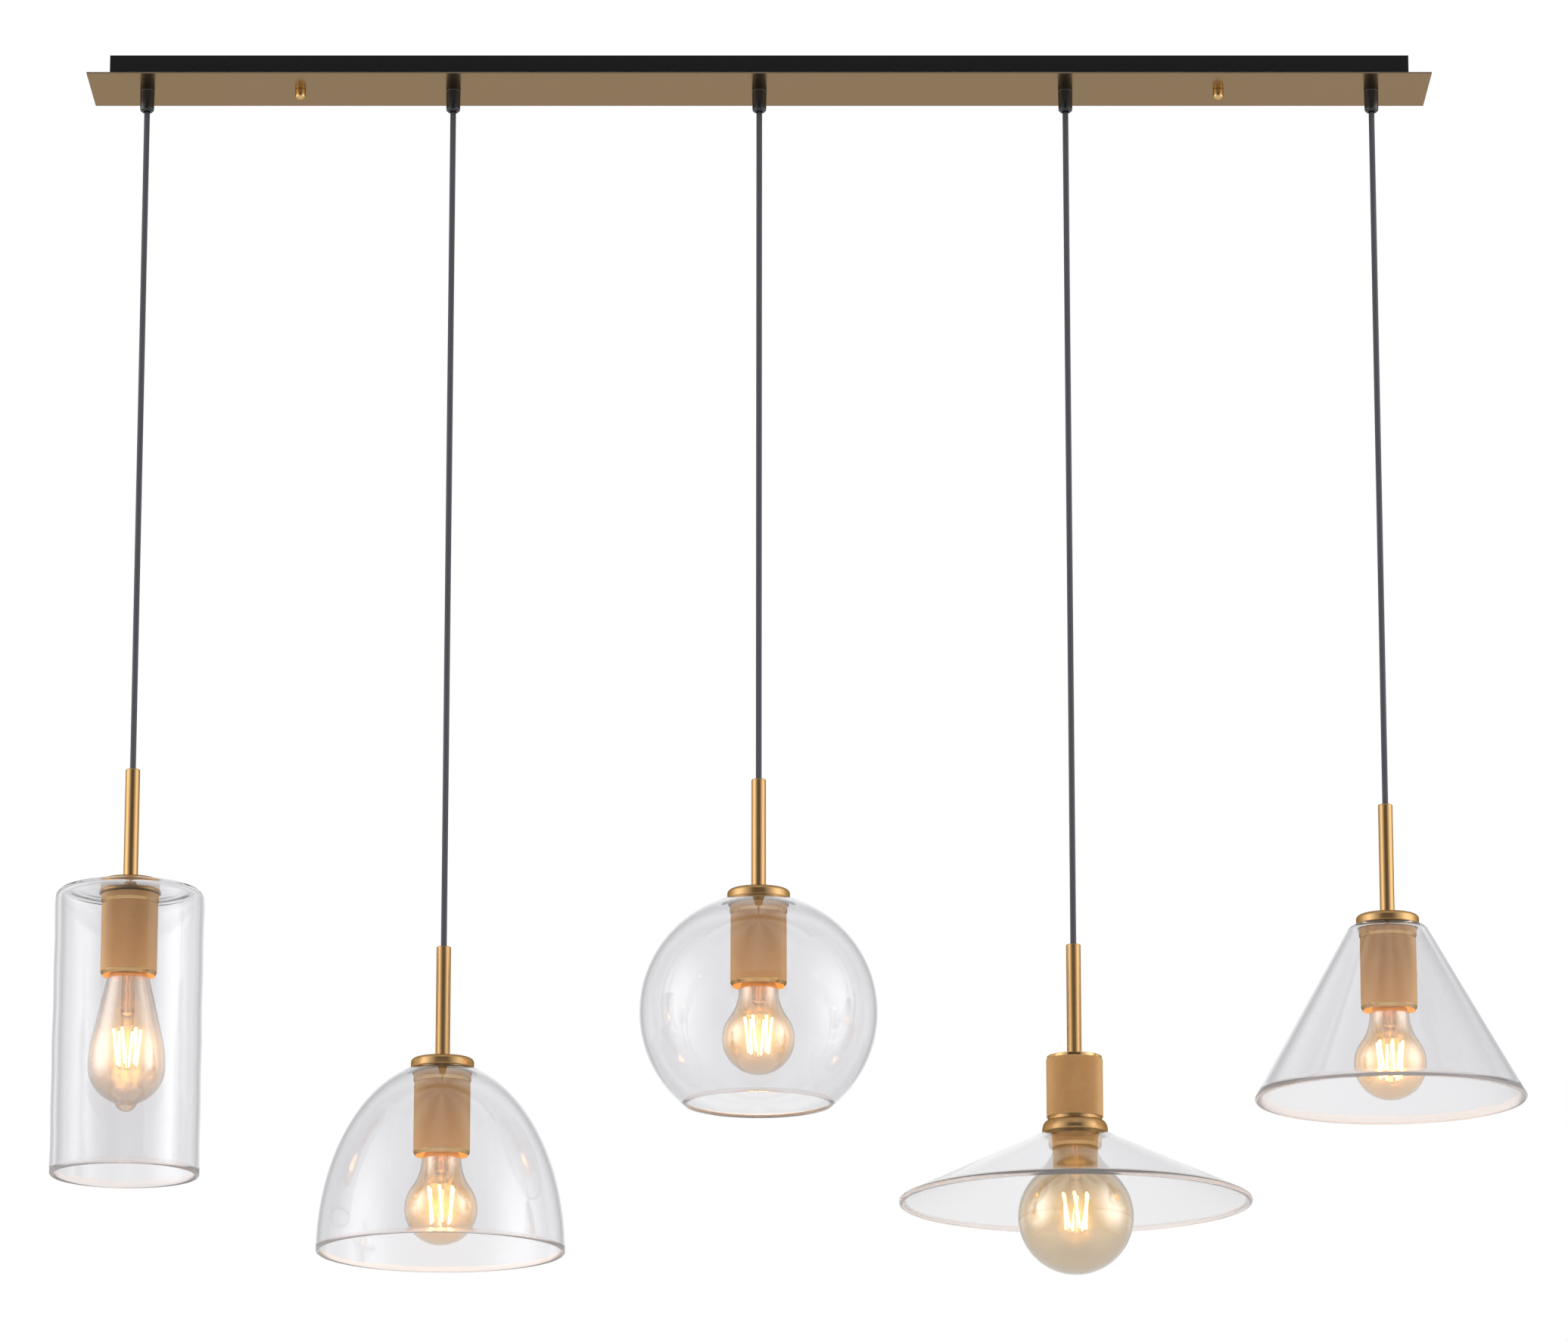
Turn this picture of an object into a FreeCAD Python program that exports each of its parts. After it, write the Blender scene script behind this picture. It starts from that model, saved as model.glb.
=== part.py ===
import FreeCAD, Part
import math
import os
import Sketcher

# A linear pendant light: a long ceiling canopy carries five cords, and on each cord hangs a brass
# stem, a fitting with a knurled sleeve, a clear glass shade of its own form and a filament lamp.
# Origin: centre of the ceiling face of the canopy. +Z is up, +X runs along the canopy, and the
# object is seen from the -Y side. All lengths are millimetres.

SIZES = {
    # canopy, hung under the ceiling
    "plate_depth": 88.0,
    "plate_thickness": 1.2,
    "plate_overhang": 18.0,
    "box_height": 20.8,
    "box_wall": 1.2,
    "pendant_pitch": 260.0,
    "plate_end": 48.0,
    # bracket that is screwed to the ceiling, inside the box
    "bracket_end_gap": 30.0,
    "bracket_width": 30.0,
    "bracket_thickness": 2.0,
    "bracket_flange": 7.0,
    "bracket_slot_length": 16.0,
    "bracket_slot_width": 5.5,
    "cable_hole_radius": 8.0,
    # studs and nuts that hold the plate
    "stud_radius": 2.0,
    "thread_gap": 0.05,
    "stud_nut_flats": 7.0,
    "stud_nut_height": 3.2,
    "hole_gap": 0.15,
    "cap_nut_radius": 4.4,
    "cap_nut_height": 5.0,
    "cap_nut_dome": 4.0,
    "cap_nut_wall": 2.0,
    # cord grips
    "grip_radius": 6.3,
    "grip_height": 20.0,
    "grip_round": 2.2,
    "grip_neck_radius": 5.0,
    "grip_neck_rise": 4.5,
    "grip_mouth_radius": 3.8,
    "grip_mouth_depth": 3.0,
    "grip_nut_flats": 14.0,
    "grip_nut_height": 3.5,
    "pivot_depth": 1.5,
    # cords and the leads inside the canopy
    "cord_radius": 2.45,
    "cord_gap": 0.15,
    "lead_bend": 6.0,
    "block_length": 60.0,
    "block_gap": 0.5,
    "block_height": 13.5,
    "block_screw_radius": 2.0,
    "block_screw_depth": 3.0,
    # stem
    "stem_radius": 6.0,
    "stem_length": 94.0,
    "stem_bore": 3.5,
    "stem_round": 0.8,
    "nipple_radius": 5.0,
    # fitting round the glass
    "cap_radius": 26.0,
    "cap_height": 8.0,
    "cap_web": 3.0,
    "cap_round": 3.0,
    "cap_lip": 4.0,
    "neck_radius": 19.5,
    "neck_wall": 1.2,
    "neck_in_sleeve": 13.5,
    "glass_seat": 4.5,
    "ring_radius": 24.0,
    "ring_height": 8.0,
    "ring_edge": 0.5,
    "ring_bevel": 2.6,
    "ring_bevel_width": 1.3,
    "sleeve_radius": 23.3,
    "sleeve_bore": 21.5,
    "sleeve_web": 3.0,
    "sleeve_bevel": 3.0,
    "sleeve_bevel_width": 1.5,
    "fitting_height": 81.0,
    # fitting of the fourth pendant, whose sleeve stands above its glass
    "tall_top_bevel": 2.5,
    "tall_sleeve_height": 51.0,
    "collar_radius": 22.4,
    "collar_height": 3.0,
    "spigot_rise": 6.0,
    "flange_radius": 27.0,
    "flange_height": 10.0,
    "flange_lip": 2.0,
    "tall_ring_radius": 22.0,
    "tall_ring_height": 10.5,
    "tall_lamp_inside": 39.0,
    # lampholder
    "holder_radius": 17.5,
    "holder_boss_radius": 9.0,
    "holder_web": 7.7,
    "holder_gap": 0.3,
    "holder_lift": 0.9,
    # lamps
    "lamp_inside": 31.0,
    "screw_cap_radius": 13.1,
    "screw_cap_height": 25.0,
    "screw_cap_wall": 0.5,
    "screw_cap_crown": 5.0,
    "contact_radius": 5.0,
    "contact_height": 2.0,
    "lamp_glass_wall": 0.8,
    "standard_lamp_radius": 30.0,
    "standard_lamp_shank": 8.4,
    "standard_lamp_neck": 16.3,
    "standard_lamp_waist": 40.0,
    "globe_lamp_radius": 47.5,
    "globe_lamp_shank": 2.3,
    "globe_lamp_neck": 16.2,
    "globe_lamp_waist": 34.0,
    "pear_lamp_radius": 32.0,
    "pear_lamp_neck": 17.0,
    "pear_lamp_shoulder": 6.0,
    "pear_lamp_flank": 109.0,
    "pear_lamp_rise": 28.4,
    "pear_lamp_round": 42.0,
    "pear_lamp_nub": 9.0,
    "pear_lamp_nub_height": 7.1,
    # filament assembly inside each lamp
    "mount_radius": 5.6,
    "crimp_radius": 5.0,
    "crimp_height": 10.0,
    "rod_radius": 1.6,
    "stick_length": 35.0,
    "stick_top_radius": 11.5,
    "stick_low_radius": 8.0,
    "stick_width": 1.8,
    "wire_width": 0.9,
    "stick_drop_standard": 54.5,
    "stick_drop_globe": 69.5,
    "stick_drop_pear": 73.5,
    # drop of each stem's top below the plate, from left to right
    "first_drop": 593.5,
    "second_drop": 744.0,
    "third_drop": 602.0,
    "fourth_drop": 742.0,
    "fifth_drop": 623.5,
    # glass shades, from left to right
    "tube_shade_radius": 61.5,
    "tube_shade_height": 240.0,
    "tube_shade_wall": 4.0,
    "tube_shade_shoulder": 9.0,
    "dome_shade_radius": 102.0,
    "dome_shade_semi_height": 158.5,
    "dome_shade_wall": 3.0,
    "globe_shade_radius": 98.3,
    "globe_shade_mouth": 60.0,
    "globe_shade_wall": 2.5,
    "flat_shade_radius": 144.8,
    "flat_shade_height": 59.0,
    "flat_shade_wall": 4.5,
    "flat_shade_lip": 4.0,
    "cone_shade_radius": 112.6,
    "cone_shade_height": 146.0,
    "cone_shade_wall": 4.0,
    "cone_shade_top": 31.0,
    "cone_shade_shoulder": 6.0,
    "rim_round": 1.0,
}

STICK_COUNT = 6
slot_spacing_share = 2.5
run_share = 0.45
volume_share = 0.01
nub_edge_share = 1.45
nub_rise_share = 0.2
PENDANT_COUNT = 5

doc = FreeCAD.newDocument("pendant_light")
sheet = doc.addObject("Spreadsheet::Sheet", "sizes")
for line, (name, value) in enumerate(SIZES.items(), start=1):
    sheet.set(f"A{line}", name)
    sheet.set(f"B{line}", str(value))
    sheet.setAlias(f"B{line}", name)
doc.recompute()


class Size:
    """A length with its present value and the sheet expression that drives it."""

    def __init__(self, value, text):
        self.value = value
        self.text = text

    def __add__(self, other):
        other = as_size(other)
        return Size(self.value + other.value, f"({self.text} + {other.text})")

    def __sub__(self, other):
        other = as_size(other)
        return Size(self.value - other.value, f"({self.text} - {other.text})")

    def __mul__(self, other):
        other = as_size(other)
        return Size(self.value * other.value, f"({self.text} * {other.text})")

    def __truediv__(self, other):
        other = as_size(other)
        return Size(self.value / other.value, f"({self.text} / {other.text})")

    def __neg__(self):
        return Size(-self.value, f"(0 - {self.text})")

    __radd__ = __add__
    __rmul__ = __mul__


def as_size(number):
    return number if isinstance(number, Size) else Size(float(number), repr(float(number)))


def root(size):
    return Size(math.sqrt(size.value), f"sqrt({size.text})")


class Sheet:
    """Reads one named cell of the sheet as a Size."""

    def __getattr__(self, name):
        return Size(float(getattr(sheet, name)), f"<<sizes>>.{name}")


s = Sheet()
zero = as_size(0)
made = []


def keep(thing, label):
    thing.Label = label
    made.append(thing)
    return thing


def place(thing, x=zero, y=zero, z=zero):
    """Ties the placement of a piece to the sheet."""
    for axis, size in (("x", x), ("y", y), ("z", z)):
        thing.setExpression(f"Placement.Base.{axis}", size.text)
    return thing


def plane(body, role):
    return next(f for f in body.Origin.OriginFeatures if f.Role == role)


def bind(sketch, constraint, size):
    index = sketch.addConstraint(constraint)
    sketch.setExpression(f"Constraints[{index}]", size.text)


def pin(sketch, edge, end, point):
    """Holds one end of an edge at a point of the sheet's sizes."""
    across, up = as_size(point[0]), as_size(point[1])
    if across.value == 0:
        sketch.addConstraint(Sketcher.Constraint("PointOnObject", edge, end, -2))
    else:
        bind(sketch, Sketcher.Constraint("DistanceX", -1, 1, edge, end, across.value), across)
    if up.value == 0:
        sketch.addConstraint(Sketcher.Constraint("PointOnObject", edge, end, -1))
    else:
        bind(sketch, Sketcher.Constraint("DistanceY", -1, 1, edge, end, up.value), up)


def arc_between(first, last, radius, turn):
    """The short arc from first to last. turn is 1 where it runs anticlockwise, and -1 clockwise."""
    a = FreeCAD.Vector(first[0], first[1], 0)
    b = FreeCAD.Vector(last[0], last[1], 0)
    chord = b - a
    rise = math.sqrt(max(radius**2 - chord.Length**2 / 4, 0))
    normal = FreeCAD.Vector(-chord.y, chord.x, 0) / chord.Length
    centre = (a + b) / 2 + normal * (rise * turn)
    start, end = (a, b) if turn > 0 else (b, a)
    angles = [math.atan2(p.y - centre.y, p.x - centre.x) for p in (start, end)]
    if angles[1] < angles[0]:
        angles[1] += 2 * math.pi
    return Part.ArcOfCircle(Part.Circle(centre, FreeCAD.Vector(0, 0, 1), radius), *angles)


def outline(body, name, role, corners):
    """A closed sketch through corners (across, up). A corner (across, up, radius, turn) is reached
    along an arc instead of a line."""
    sketch = body.newObject("Sketcher::SketchObject", name)
    sketch.AttachmentSupport = [(plane(body, role), "")]
    sketch.MapMode = "FlatFace"
    points = [(as_size(c[0]).value, as_size(c[1]).value) for c in corners]
    ends = []
    for i, corner in enumerate(corners):
        before, here = points[i - 1], points[i]
        if len(corner) == 2:
            vectors = [FreeCAD.Vector(p[0], p[1], 0) for p in (before, here)]
            sketch.addGeometry(Part.LineSegment(*vectors), False)
            ends.append((1, 2))
        else:
            radius, turn = as_size(corner[2]), corner[3]
            sketch.addGeometry(arc_between(before, here, radius.value, turn), False)
            ends.append((1, 2) if turn > 0 else (2, 1))
    for i in range(len(corners)):
        after = (i + 1) % len(corners)
        sketch.addConstraint(
            Sketcher.Constraint("Coincident", i, ends[i][1], after, ends[after][0])
        )
    for i, corner in enumerate(corners):
        pin(sketch, i, ends[i][1], corner)
        if len(corner) > 2:
            radius = as_size(corner[2])
            bind(sketch, Sketcher.Constraint("Radius", i, radius.value), radius)
    return sketch


def new_body(label):
    body = doc.addObject("PartDesign::Body", label + "_body")
    body.AllowCompound = True
    return keep(body, label)


def revolve(body, name, corners):
    """Turns an outline of (radius, height) corners about the body's upright axis."""
    sketch = outline(body, name + "_outline", "XZ_Plane", corners)
    turn = body.newObject("PartDesign::Revolution", name)
    turn.Profile = sketch
    turn.ReferenceAxis = (sketch, ["V_Axis"])
    turn.Angle = 360.0
    sketch.Visibility = False
    body.Tip = turn
    return turn


def turned(label, corners):
    body = new_body(label)
    revolve(body, label + "_turn", corners)
    return body


def pad(body, name, role, corners, thickness, both_ways=False):
    sketch = outline(body, name + "_outline", role, corners)
    feature = body.newObject("PartDesign::Pad", name)
    feature.Profile = sketch
    feature.Midplane = both_ways
    feature.setExpression("Length", as_size(thickness).text)
    feature.Length = as_size(thickness).value
    body.Tip = feature
    return feature


def rectangle(half_across, half_up, across=zero, up=zero):
    return [
        (across - half_across, up - half_up),
        (across + half_across, up - half_up),
        (across + half_across, up + half_up),
        (across - half_across, up + half_up),
    ]


def hexagon(flats):
    corner = flats / root(as_size(3))
    return [
        (corner, zero),
        (corner / 2, flats / 2),
        (-corner / 2, flats / 2),
        (-corner, zero),
        (-corner / 2, -flats / 2),
        (corner / 2, -flats / 2),
    ]


def round_hole(body, name, radius, depth, across=zero, up=zero):
    """Cuts a round hole down through the body from its own XY plane."""
    sketch = body.newObject("Sketcher::SketchObject", name + "_outline")
    sketch.AttachmentSupport = [(plane(body, "XY_Plane"), "")]
    sketch.MapMode = "FlatFace"
    centre = FreeCAD.Vector(across.value, up.value, 0)
    sketch.addGeometry(Part.Circle(centre, FreeCAD.Vector(0, 0, 1), radius.value), False)
    bind(sketch, Sketcher.Constraint("Radius", 0, radius.value), radius)
    pin(sketch, 0, 3, (across, up))
    cut = body.newObject("PartDesign::Pocket", name)
    cut.Profile = sketch
    cut.Midplane = True
    cut.setExpression("Length", (depth * 2).text)
    cut.Length = depth.value * 2
    body.Tip = cut
    return cut


def slot_hole(body, name, across, length, width, depth):
    """Cuts a slot with round ends, which lies along X, down through the body's own XY plane."""
    sketch = body.newObject("Sketcher::SketchObject", name + "_outline")
    sketch.AttachmentSupport = [(plane(body, "XY_Plane"), "")]
    sketch.MapMode = "FlatFace"
    radius = width / 2
    reach = (length - width) / 2
    quarter = math.pi / 2
    up = FreeCAD.Vector(0, 0, 1)
    rise = FreeCAD.Vector(0, radius.value, 0)
    centres = [across + reach, across - reach]
    middles = [FreeCAD.Vector(c.value, 0, 0) for c in centres]
    right, left = (Part.Circle(m, up, radius.value) for m in middles)
    sketch.addGeometry(Part.ArcOfCircle(right, -quarter, quarter), False)
    sketch.addGeometry(Part.LineSegment(middles[0] + rise, middles[1] + rise), False)
    sketch.addGeometry(Part.ArcOfCircle(left, quarter, quarter * 3), False)
    sketch.addGeometry(Part.LineSegment(middles[1] - rise, middles[0] - rise), False)
    for edge in range(4):
        after = (edge + 1) % 4
        sketch.addConstraint(Sketcher.Constraint("Tangent", edge, 2, after, 1))
    sketch.addConstraint(Sketcher.Constraint("Equal", 0, 2))
    bind(sketch, Sketcher.Constraint("Radius", 0, radius.value), radius)
    pin(sketch, 0, 3, (centres[0], zero))
    pin(sketch, 2, 3, (centres[1], zero))
    cut = body.newObject("PartDesign::Pocket", name)
    cut.Profile = sketch
    cut.Midplane = True
    cut.setExpression("Length", (depth * 2).text)
    cut.Length = depth.value * 2
    body.Tip = cut
    return cut


def row(body, feature, sketch, spacing, count):
    """Repeats a feature along X."""
    pattern = body.newObject("PartDesign::LinearPattern", feature.Name + "_row")
    pattern.Originals = [feature]
    pattern.Direction = (sketch, ["H_Axis"])
    pattern.setExpression("Length", (spacing * (count - 1)).text)
    pattern.Length = spacing.value * (count - 1)
    pattern.Occurrences = count
    body.Tip = pattern
    return pattern


# Heights that the whole canopy shares

plate_top = -s.box_height
plate_low = plate_top - s.plate_thickness
box_floor_top = plate_top + s.box_wall
grip_low = plate_low - s.grip_height
pivot_height = grip_low + s.pivot_depth
first_x = -s.pendant_pitch * 2
stud_x = s.pendant_pitch * 1.5
slot_spacing = s.pendant_pitch * slot_spacing_share
plate_length = s.pendant_pitch * (PENDANT_COUNT - 1) + s.plate_end * 2
box_length = plate_length - s.plate_overhang * 2
box_depth = s.plate_depth - s.plate_overhang * 2
grip_hole = s.grip_neck_radius + s.hole_gap
stud_hole = s.stud_radius + s.hole_gap


# Canopy


def make_plate():
    body = new_body("canopy_plate")
    sheet_corners = rectangle(plate_length / 2, s.plate_depth / 2)
    slab = pad(body, "plate_slab", "XY_Plane", sheet_corners, s.plate_thickness)
    slab.Reversed = True
    drill_canopy(body, "plate", s.plate_thickness)
    place(body, z=plate_top)


def drill_canopy(body, name, depth):
    """The same grip and stud holes go through the plate and the floor of the box."""
    grip_cut = round_hole(body, name + "_grip_hole", grip_hole, depth * 2, first_x)
    row(body, grip_cut, grip_cut.Profile[0], s.pendant_pitch, PENDANT_COUNT)
    stud_cut = round_hole(body, name + "_stud_hole", stud_hole, depth * 2, -stud_x)
    row(body, stud_cut, stud_cut.Profile[0], stud_x * 2, 2)


def make_box():
    body = new_body("canopy_box")
    outside = rectangle(box_length / 2, box_depth / 2)
    pad(body, "box_block", "XY_Plane", outside, s.box_height)
    inside = rectangle(box_length / 2 - s.box_wall, box_depth / 2 - s.box_wall)
    sketch = outline(body, "box_hollow_outline", "XY_Plane", inside)
    sketch.setExpression("AttachmentOffset.Base.z", s.box_height.text)
    hollow = body.newObject("PartDesign::Pocket", "box_hollow")
    hollow.Profile = sketch
    hollow.setExpression("Length", (s.box_height - s.box_wall).text)
    hollow.Length = s.box_height.value - s.box_wall.value
    body.Tip = hollow
    drill_canopy(body, "box", s.box_wall)
    place(body, z=plate_top)


def make_bracket():
    body = new_body("ceiling_bracket")
    half_length = box_length / 2 - s.bracket_end_gap
    half_width = s.bracket_width / 2
    web_low = -s.bracket_thickness
    low = web_low - s.bracket_flange
    inner = half_width - s.bracket_thickness
    section = [
        (-half_width, zero),
        (-half_width, low),
        (-inner, low),
        (-inner, web_low),
        (inner, web_low),
        (inner, low),
        (half_width, low),
        (half_width, zero),
    ]
    pad(body, "bracket_channel", "YZ_Plane", section, half_length * 2, True)
    slot = slot_hole(
        body,
        "bracket_slot",
        -slot_spacing / 2,
        s.bracket_slot_length,
        s.bracket_slot_width,
        s.bracket_thickness * 2,
    )
    row(body, slot, slot.Profile[0], slot_spacing, 2)
    stud_cut = round_hole(
        body, "bracket_stud_hole", s.stud_radius + s.thread_gap, s.bracket_thickness * 2, -stud_x
    )
    row(body, stud_cut, stud_cut.Profile[0], stud_x * 2, 2)
    round_hole(
        body, "cable_hole", s.cable_hole_radius, s.bracket_thickness * 2, -s.pendant_pitch / 2
    )


def turned_row(label, corners, x, spacing, count):
    """One turned piece, repeated along X as separate solids of one group."""
    body = new_body(label)
    turn = revolve(body, label + "_turn", corners)
    row(body, turn, turn.Profile[0], spacing, count)
    place(body, x=x)


def nut_row(label, flats, bore, low, height, x, spacing, count):
    """Hexagon nuts along X."""
    body = new_body(label)
    block = pad(body, label + "_block", "XY_Plane", hexagon(flats), height)
    row(body, block, block.Profile[0], spacing, count)
    hole = round_hole(body, label + "_bore", bore, height * 2)
    row(body, hole, hole.Profile[0], spacing, count)
    place(body, x=x, z=low)


def make_studs():
    low = plate_low - s.cap_nut_height
    turned_row(
        "bracket_studs",
        [(zero, zero), (zero, low), (s.stud_radius, low), (s.stud_radius, zero)],
        -stud_x,
        stud_x * 2,
        2,
    )
    nut_low = -s.bracket_thickness - s.stud_nut_height
    bore = s.stud_radius + s.thread_gap
    nut_row(
        "stud_nuts", s.stud_nut_flats, bore, nut_low, s.stud_nut_height, -stud_x, stud_x * 2, 2
    )


def make_cap_nuts():
    bore = s.stud_radius + s.thread_gap
    straight_low = plate_low - s.cap_nut_height
    low = straight_low - s.cap_nut_dome
    dome_radius = (s.cap_nut_dome * s.cap_nut_dome + s.cap_nut_radius * s.cap_nut_radius) / (
        s.cap_nut_dome * 2
    )
    bore_end = straight_low - s.cap_nut_dome + s.cap_nut_wall
    turned_row(
        "cap_nuts",
        [
            (bore, plate_low),
            (bore, bore_end),
            (zero, bore_end),
            (zero, low),
            (s.cap_nut_radius, straight_low, dome_radius, 1),
            (s.cap_nut_radius, plate_low),
        ],
        -stud_x,
        stud_x * 2,
        2,
    )


def make_grips():
    bore = s.cord_radius + s.cord_gap
    neck_top = box_floor_top + s.grip_neck_rise
    round_low = s.grip_round
    turned_row(
        "cord_grips",
        [
            (bore, neck_top),
            (bore, grip_low + s.grip_mouth_depth),
            (s.grip_mouth_radius, grip_low),
            (s.grip_radius - round_low, grip_low),
            (s.grip_radius, grip_low + round_low, round_low, 1),
            (s.grip_radius, plate_low),
            (s.grip_neck_radius, plate_low),
            (s.grip_neck_radius, neck_top),
        ],
        first_x,
        s.pendant_pitch,
        PENDANT_COUNT,
    )
    nut_row(
        "grip_nuts",
        s.grip_nut_flats,
        s.grip_neck_radius + s.thread_gap,
        box_floor_top,
        s.grip_nut_height,
        first_x,
        s.pendant_pitch,
        PENDANT_COUNT,
    )


block_x = s.pendant_pitch / 2
block_width = s.bracket_width - s.bracket_thickness * 2 - s.block_gap * 2
lead_lane = block_width / 2 - s.cord_radius - s.thread_gap
lead_height = box_floor_top + s.grip_neck_rise + s.lead_bend


def make_terminal_block():
    body = new_body("terminal_block")
    corners = rectangle(s.block_length / 2, block_width / 2)
    pad(body, "block_base", "XY_Plane", corners, s.block_height)
    screw_step = s.block_length / 4
    screw = round_hole(body, "block_screw", s.block_screw_radius, s.block_screw_depth, -screw_step)
    screw.Profile[0].setExpression("AttachmentOffset.Base.z", s.block_height.text)
    row(body, screw, screw.Profile[0], screw_step, 3)
    place(body, x=block_x, z=box_floor_top)


def lead(start_x, lane, end_x):
    """A lead that rises out of a grip, bends over and runs along its lane to the terminal block.
    Straight runs are joined by tangent arcs."""
    bend = s.lead_bend.value
    way = math.copysign(1, end_x - start_x)
    side = bend * 2 * way
    points = [
        FreeCAD.Vector(start_x, 0, pivot_height.value),
        FreeCAD.Vector(start_x, 0, lead_height.value),
    ]
    if lane:
        points.append(FreeCAD.Vector(start_x + side, 0, lead_height.value))
        run = start_x + side + abs(lane) * 2 * way
        points.append(FreeCAD.Vector(run, lane, lead_height.value))
    points.append(FreeCAD.Vector(end_x, lane, lead_height.value))
    return tube(points, s.cord_radius.value, bend)


def tube(points, radius, bend):
    """A round tube along straight runs with tangent arcs of radius bend at the corners."""
    edges = []
    radii = []
    here = points[0]
    for before, corner, after in zip(points, points[1:], points[2:]):
        into = (corner - before).normalize()
        out = (after - corner).normalize()
        turn = into.getAngle(out)
        shortest = min((corner - before).Length, (after - corner).Length)
        arc_radius = min(bend, run_share * shortest / math.tan(turn / 2))
        radii.append(round(arc_radius, 2))
        back = arc_radius * math.tan(turn / 2)
        start, end = corner - into * back, corner + out * back
        inward = (out - into).normalize()
        middle = corner + inward * (arc_radius / math.cos(turn / 2) - arc_radius)
        edges.append(Part.LineSegment(here, start).toShape())
        edges.append(Part.Arc(start, middle, end).toShape())
        here = end
    edges.append(Part.LineSegment(here, points[-1]).toShape())
    path = Part.Wire(edges)
    first = (points[1] - points[0]).normalize()
    circle = Part.Wire(Part.Circle(points[0], first, radius).toShape())
    solid = path.makePipeShell([circle], True, False)
    expected = math.pi * radius**2 * path.Length
    if abs(solid.Volume / expected - 1) > volume_share:
        raise SystemExit("a lead's volume is not its section times its length")
    print("lead bends of radius", radii, "mm, volume", round(solid.Volume / expected, 5), "of its length's")
    return solid


def make_leads():
    reach = s.block_length.value / 2
    block = block_x.value
    lane = lead_lane.value
    pitch = s.pendant_pitch.value
    solids = []
    for index in range(PENDANT_COUNT):
        start_x = first_x.value + pitch * index
        end_x = block - reach if start_x < block else block + reach
        lanes = {0: lane, 1: -lane, 2: 0, 3: -lane, 4: lane}
        solids.append(lead(start_x, lanes[index], end_x))
    leads = doc.addObject("Part::Feature", "inner_leads_group")
    leads.Shape = Part.Compound(solids)
    keep(leads, "inner_leads")


# Lamps, drawn downwards from the tip of the centre contact at height zero


def screw_cap_corners():
    outer = s.screw_cap_radius
    inner = outer - s.screw_cap_wall
    crown = s.screw_cap_crown
    low = -s.screw_cap_height
    return [
        (zero, zero),
        (zero, -crown),
        (inner, -crown - s.screw_cap_wall),
        (inner, low),
        (outer, low),
        (outer, -crown),
        (s.contact_radius, -s.contact_height),
        (s.contact_radius, zero),
    ]


def neck_corners(wall):
    """The neck that is cemented into the screw cap: its upper points."""
    inside = s.screw_cap_radius - s.screw_cap_wall - s.thread_gap - wall
    top = -s.screw_cap_height + s.lamp_glass_wall * 2
    return [(inside, top), (inside, -s.screw_cap_height - s.lamp_glass_wall)]


def waisted_corners(radius, shank, neck, waist, wall):
    """One side of a ball lamp's glass: neck, hollow waist, then the ball down to its pole."""
    ball = radius - wall
    hollow = waist + wall
    reach = radius + waist
    rise = root(reach * reach - (neck + waist) * (neck + waist))
    waist_start = -s.screw_cap_height - shank
    centre = waist_start - rise
    share = ball / reach
    meet = ((neck + waist) * share, centre + rise * share)
    corners = neck_corners(wall)
    corners.append((neck - wall, waist_start))
    corners.append((*meet, hollow, 1))
    corners.append((zero, centre - ball, ball, -1))
    return corners


def pear_corners(wall):
    """One side of the pear lamp's glass: straight flank, long curve, round foot and small nub."""
    radius = s.pear_lamp_radius
    foot = s.pear_lamp_round
    nub = s.pear_lamp_nub
    nub_height = s.pear_lamp_nub_height
    nub_round = (nub * nub + nub_height * nub_height) / (nub_height * 2)
    foot_middle = radius - foot
    foot_edge = nub * nub_edge_share - foot_middle
    foot_drop = root(foot * foot - foot_edge * foot_edge)
    foot_share = (foot - wall) / foot
    # the flank runs straight from the neck and touches the long curve
    flank = s.pear_lamp_flank
    lean = s.pear_lamp_rise / flank
    level = root(as_size(1) - lean * lean)
    straight = (radius - flank + flank * level - s.pear_lamp_neck) / lean
    neck_low = -s.screw_cap_height - s.pear_lamp_shoulder
    widest = neck_low - s.pear_lamp_rise - straight * level
    nub_top = widest - foot_drop - nub * nub_rise_share
    flank_share = (flank - wall) / flank
    corners = neck_corners(wall)
    corners.append((s.pear_lamp_neck - wall, neck_low))
    corners.append(
        (radius - flank + flank * level * flank_share, widest + s.pear_lamp_rise * flank_share)
    )
    corners.append((radius - wall, widest, flank - wall, -1))
    corners.append(
        (foot_middle + foot_edge * foot_share, widest - foot_drop * foot_share, foot - wall, -1)
    )
    corners.append((nub - wall, nub_top + wall / 2))
    corners.append((zero, nub_top - nub_height + wall, nub_round, -1))
    return corners


def glass_body(label, side):
    """Closes the outer and the inner side of a lamp's glass into one wall."""
    outer = side(zero)
    inner = side(s.lamp_glass_wall)
    # the way back up passes the same arcs in the other order, each turned round
    back = []
    for i in range(len(inner) - 1, -1, -1):
        arc = inner[i + 1][2:] if i + 1 < len(inner) else ()
        turned_arc = (arc[0], -arc[1]) if arc else ()
        back.append((inner[i][0], inner[i][1], *turned_arc))
    return turned(label, outer + back)


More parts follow.
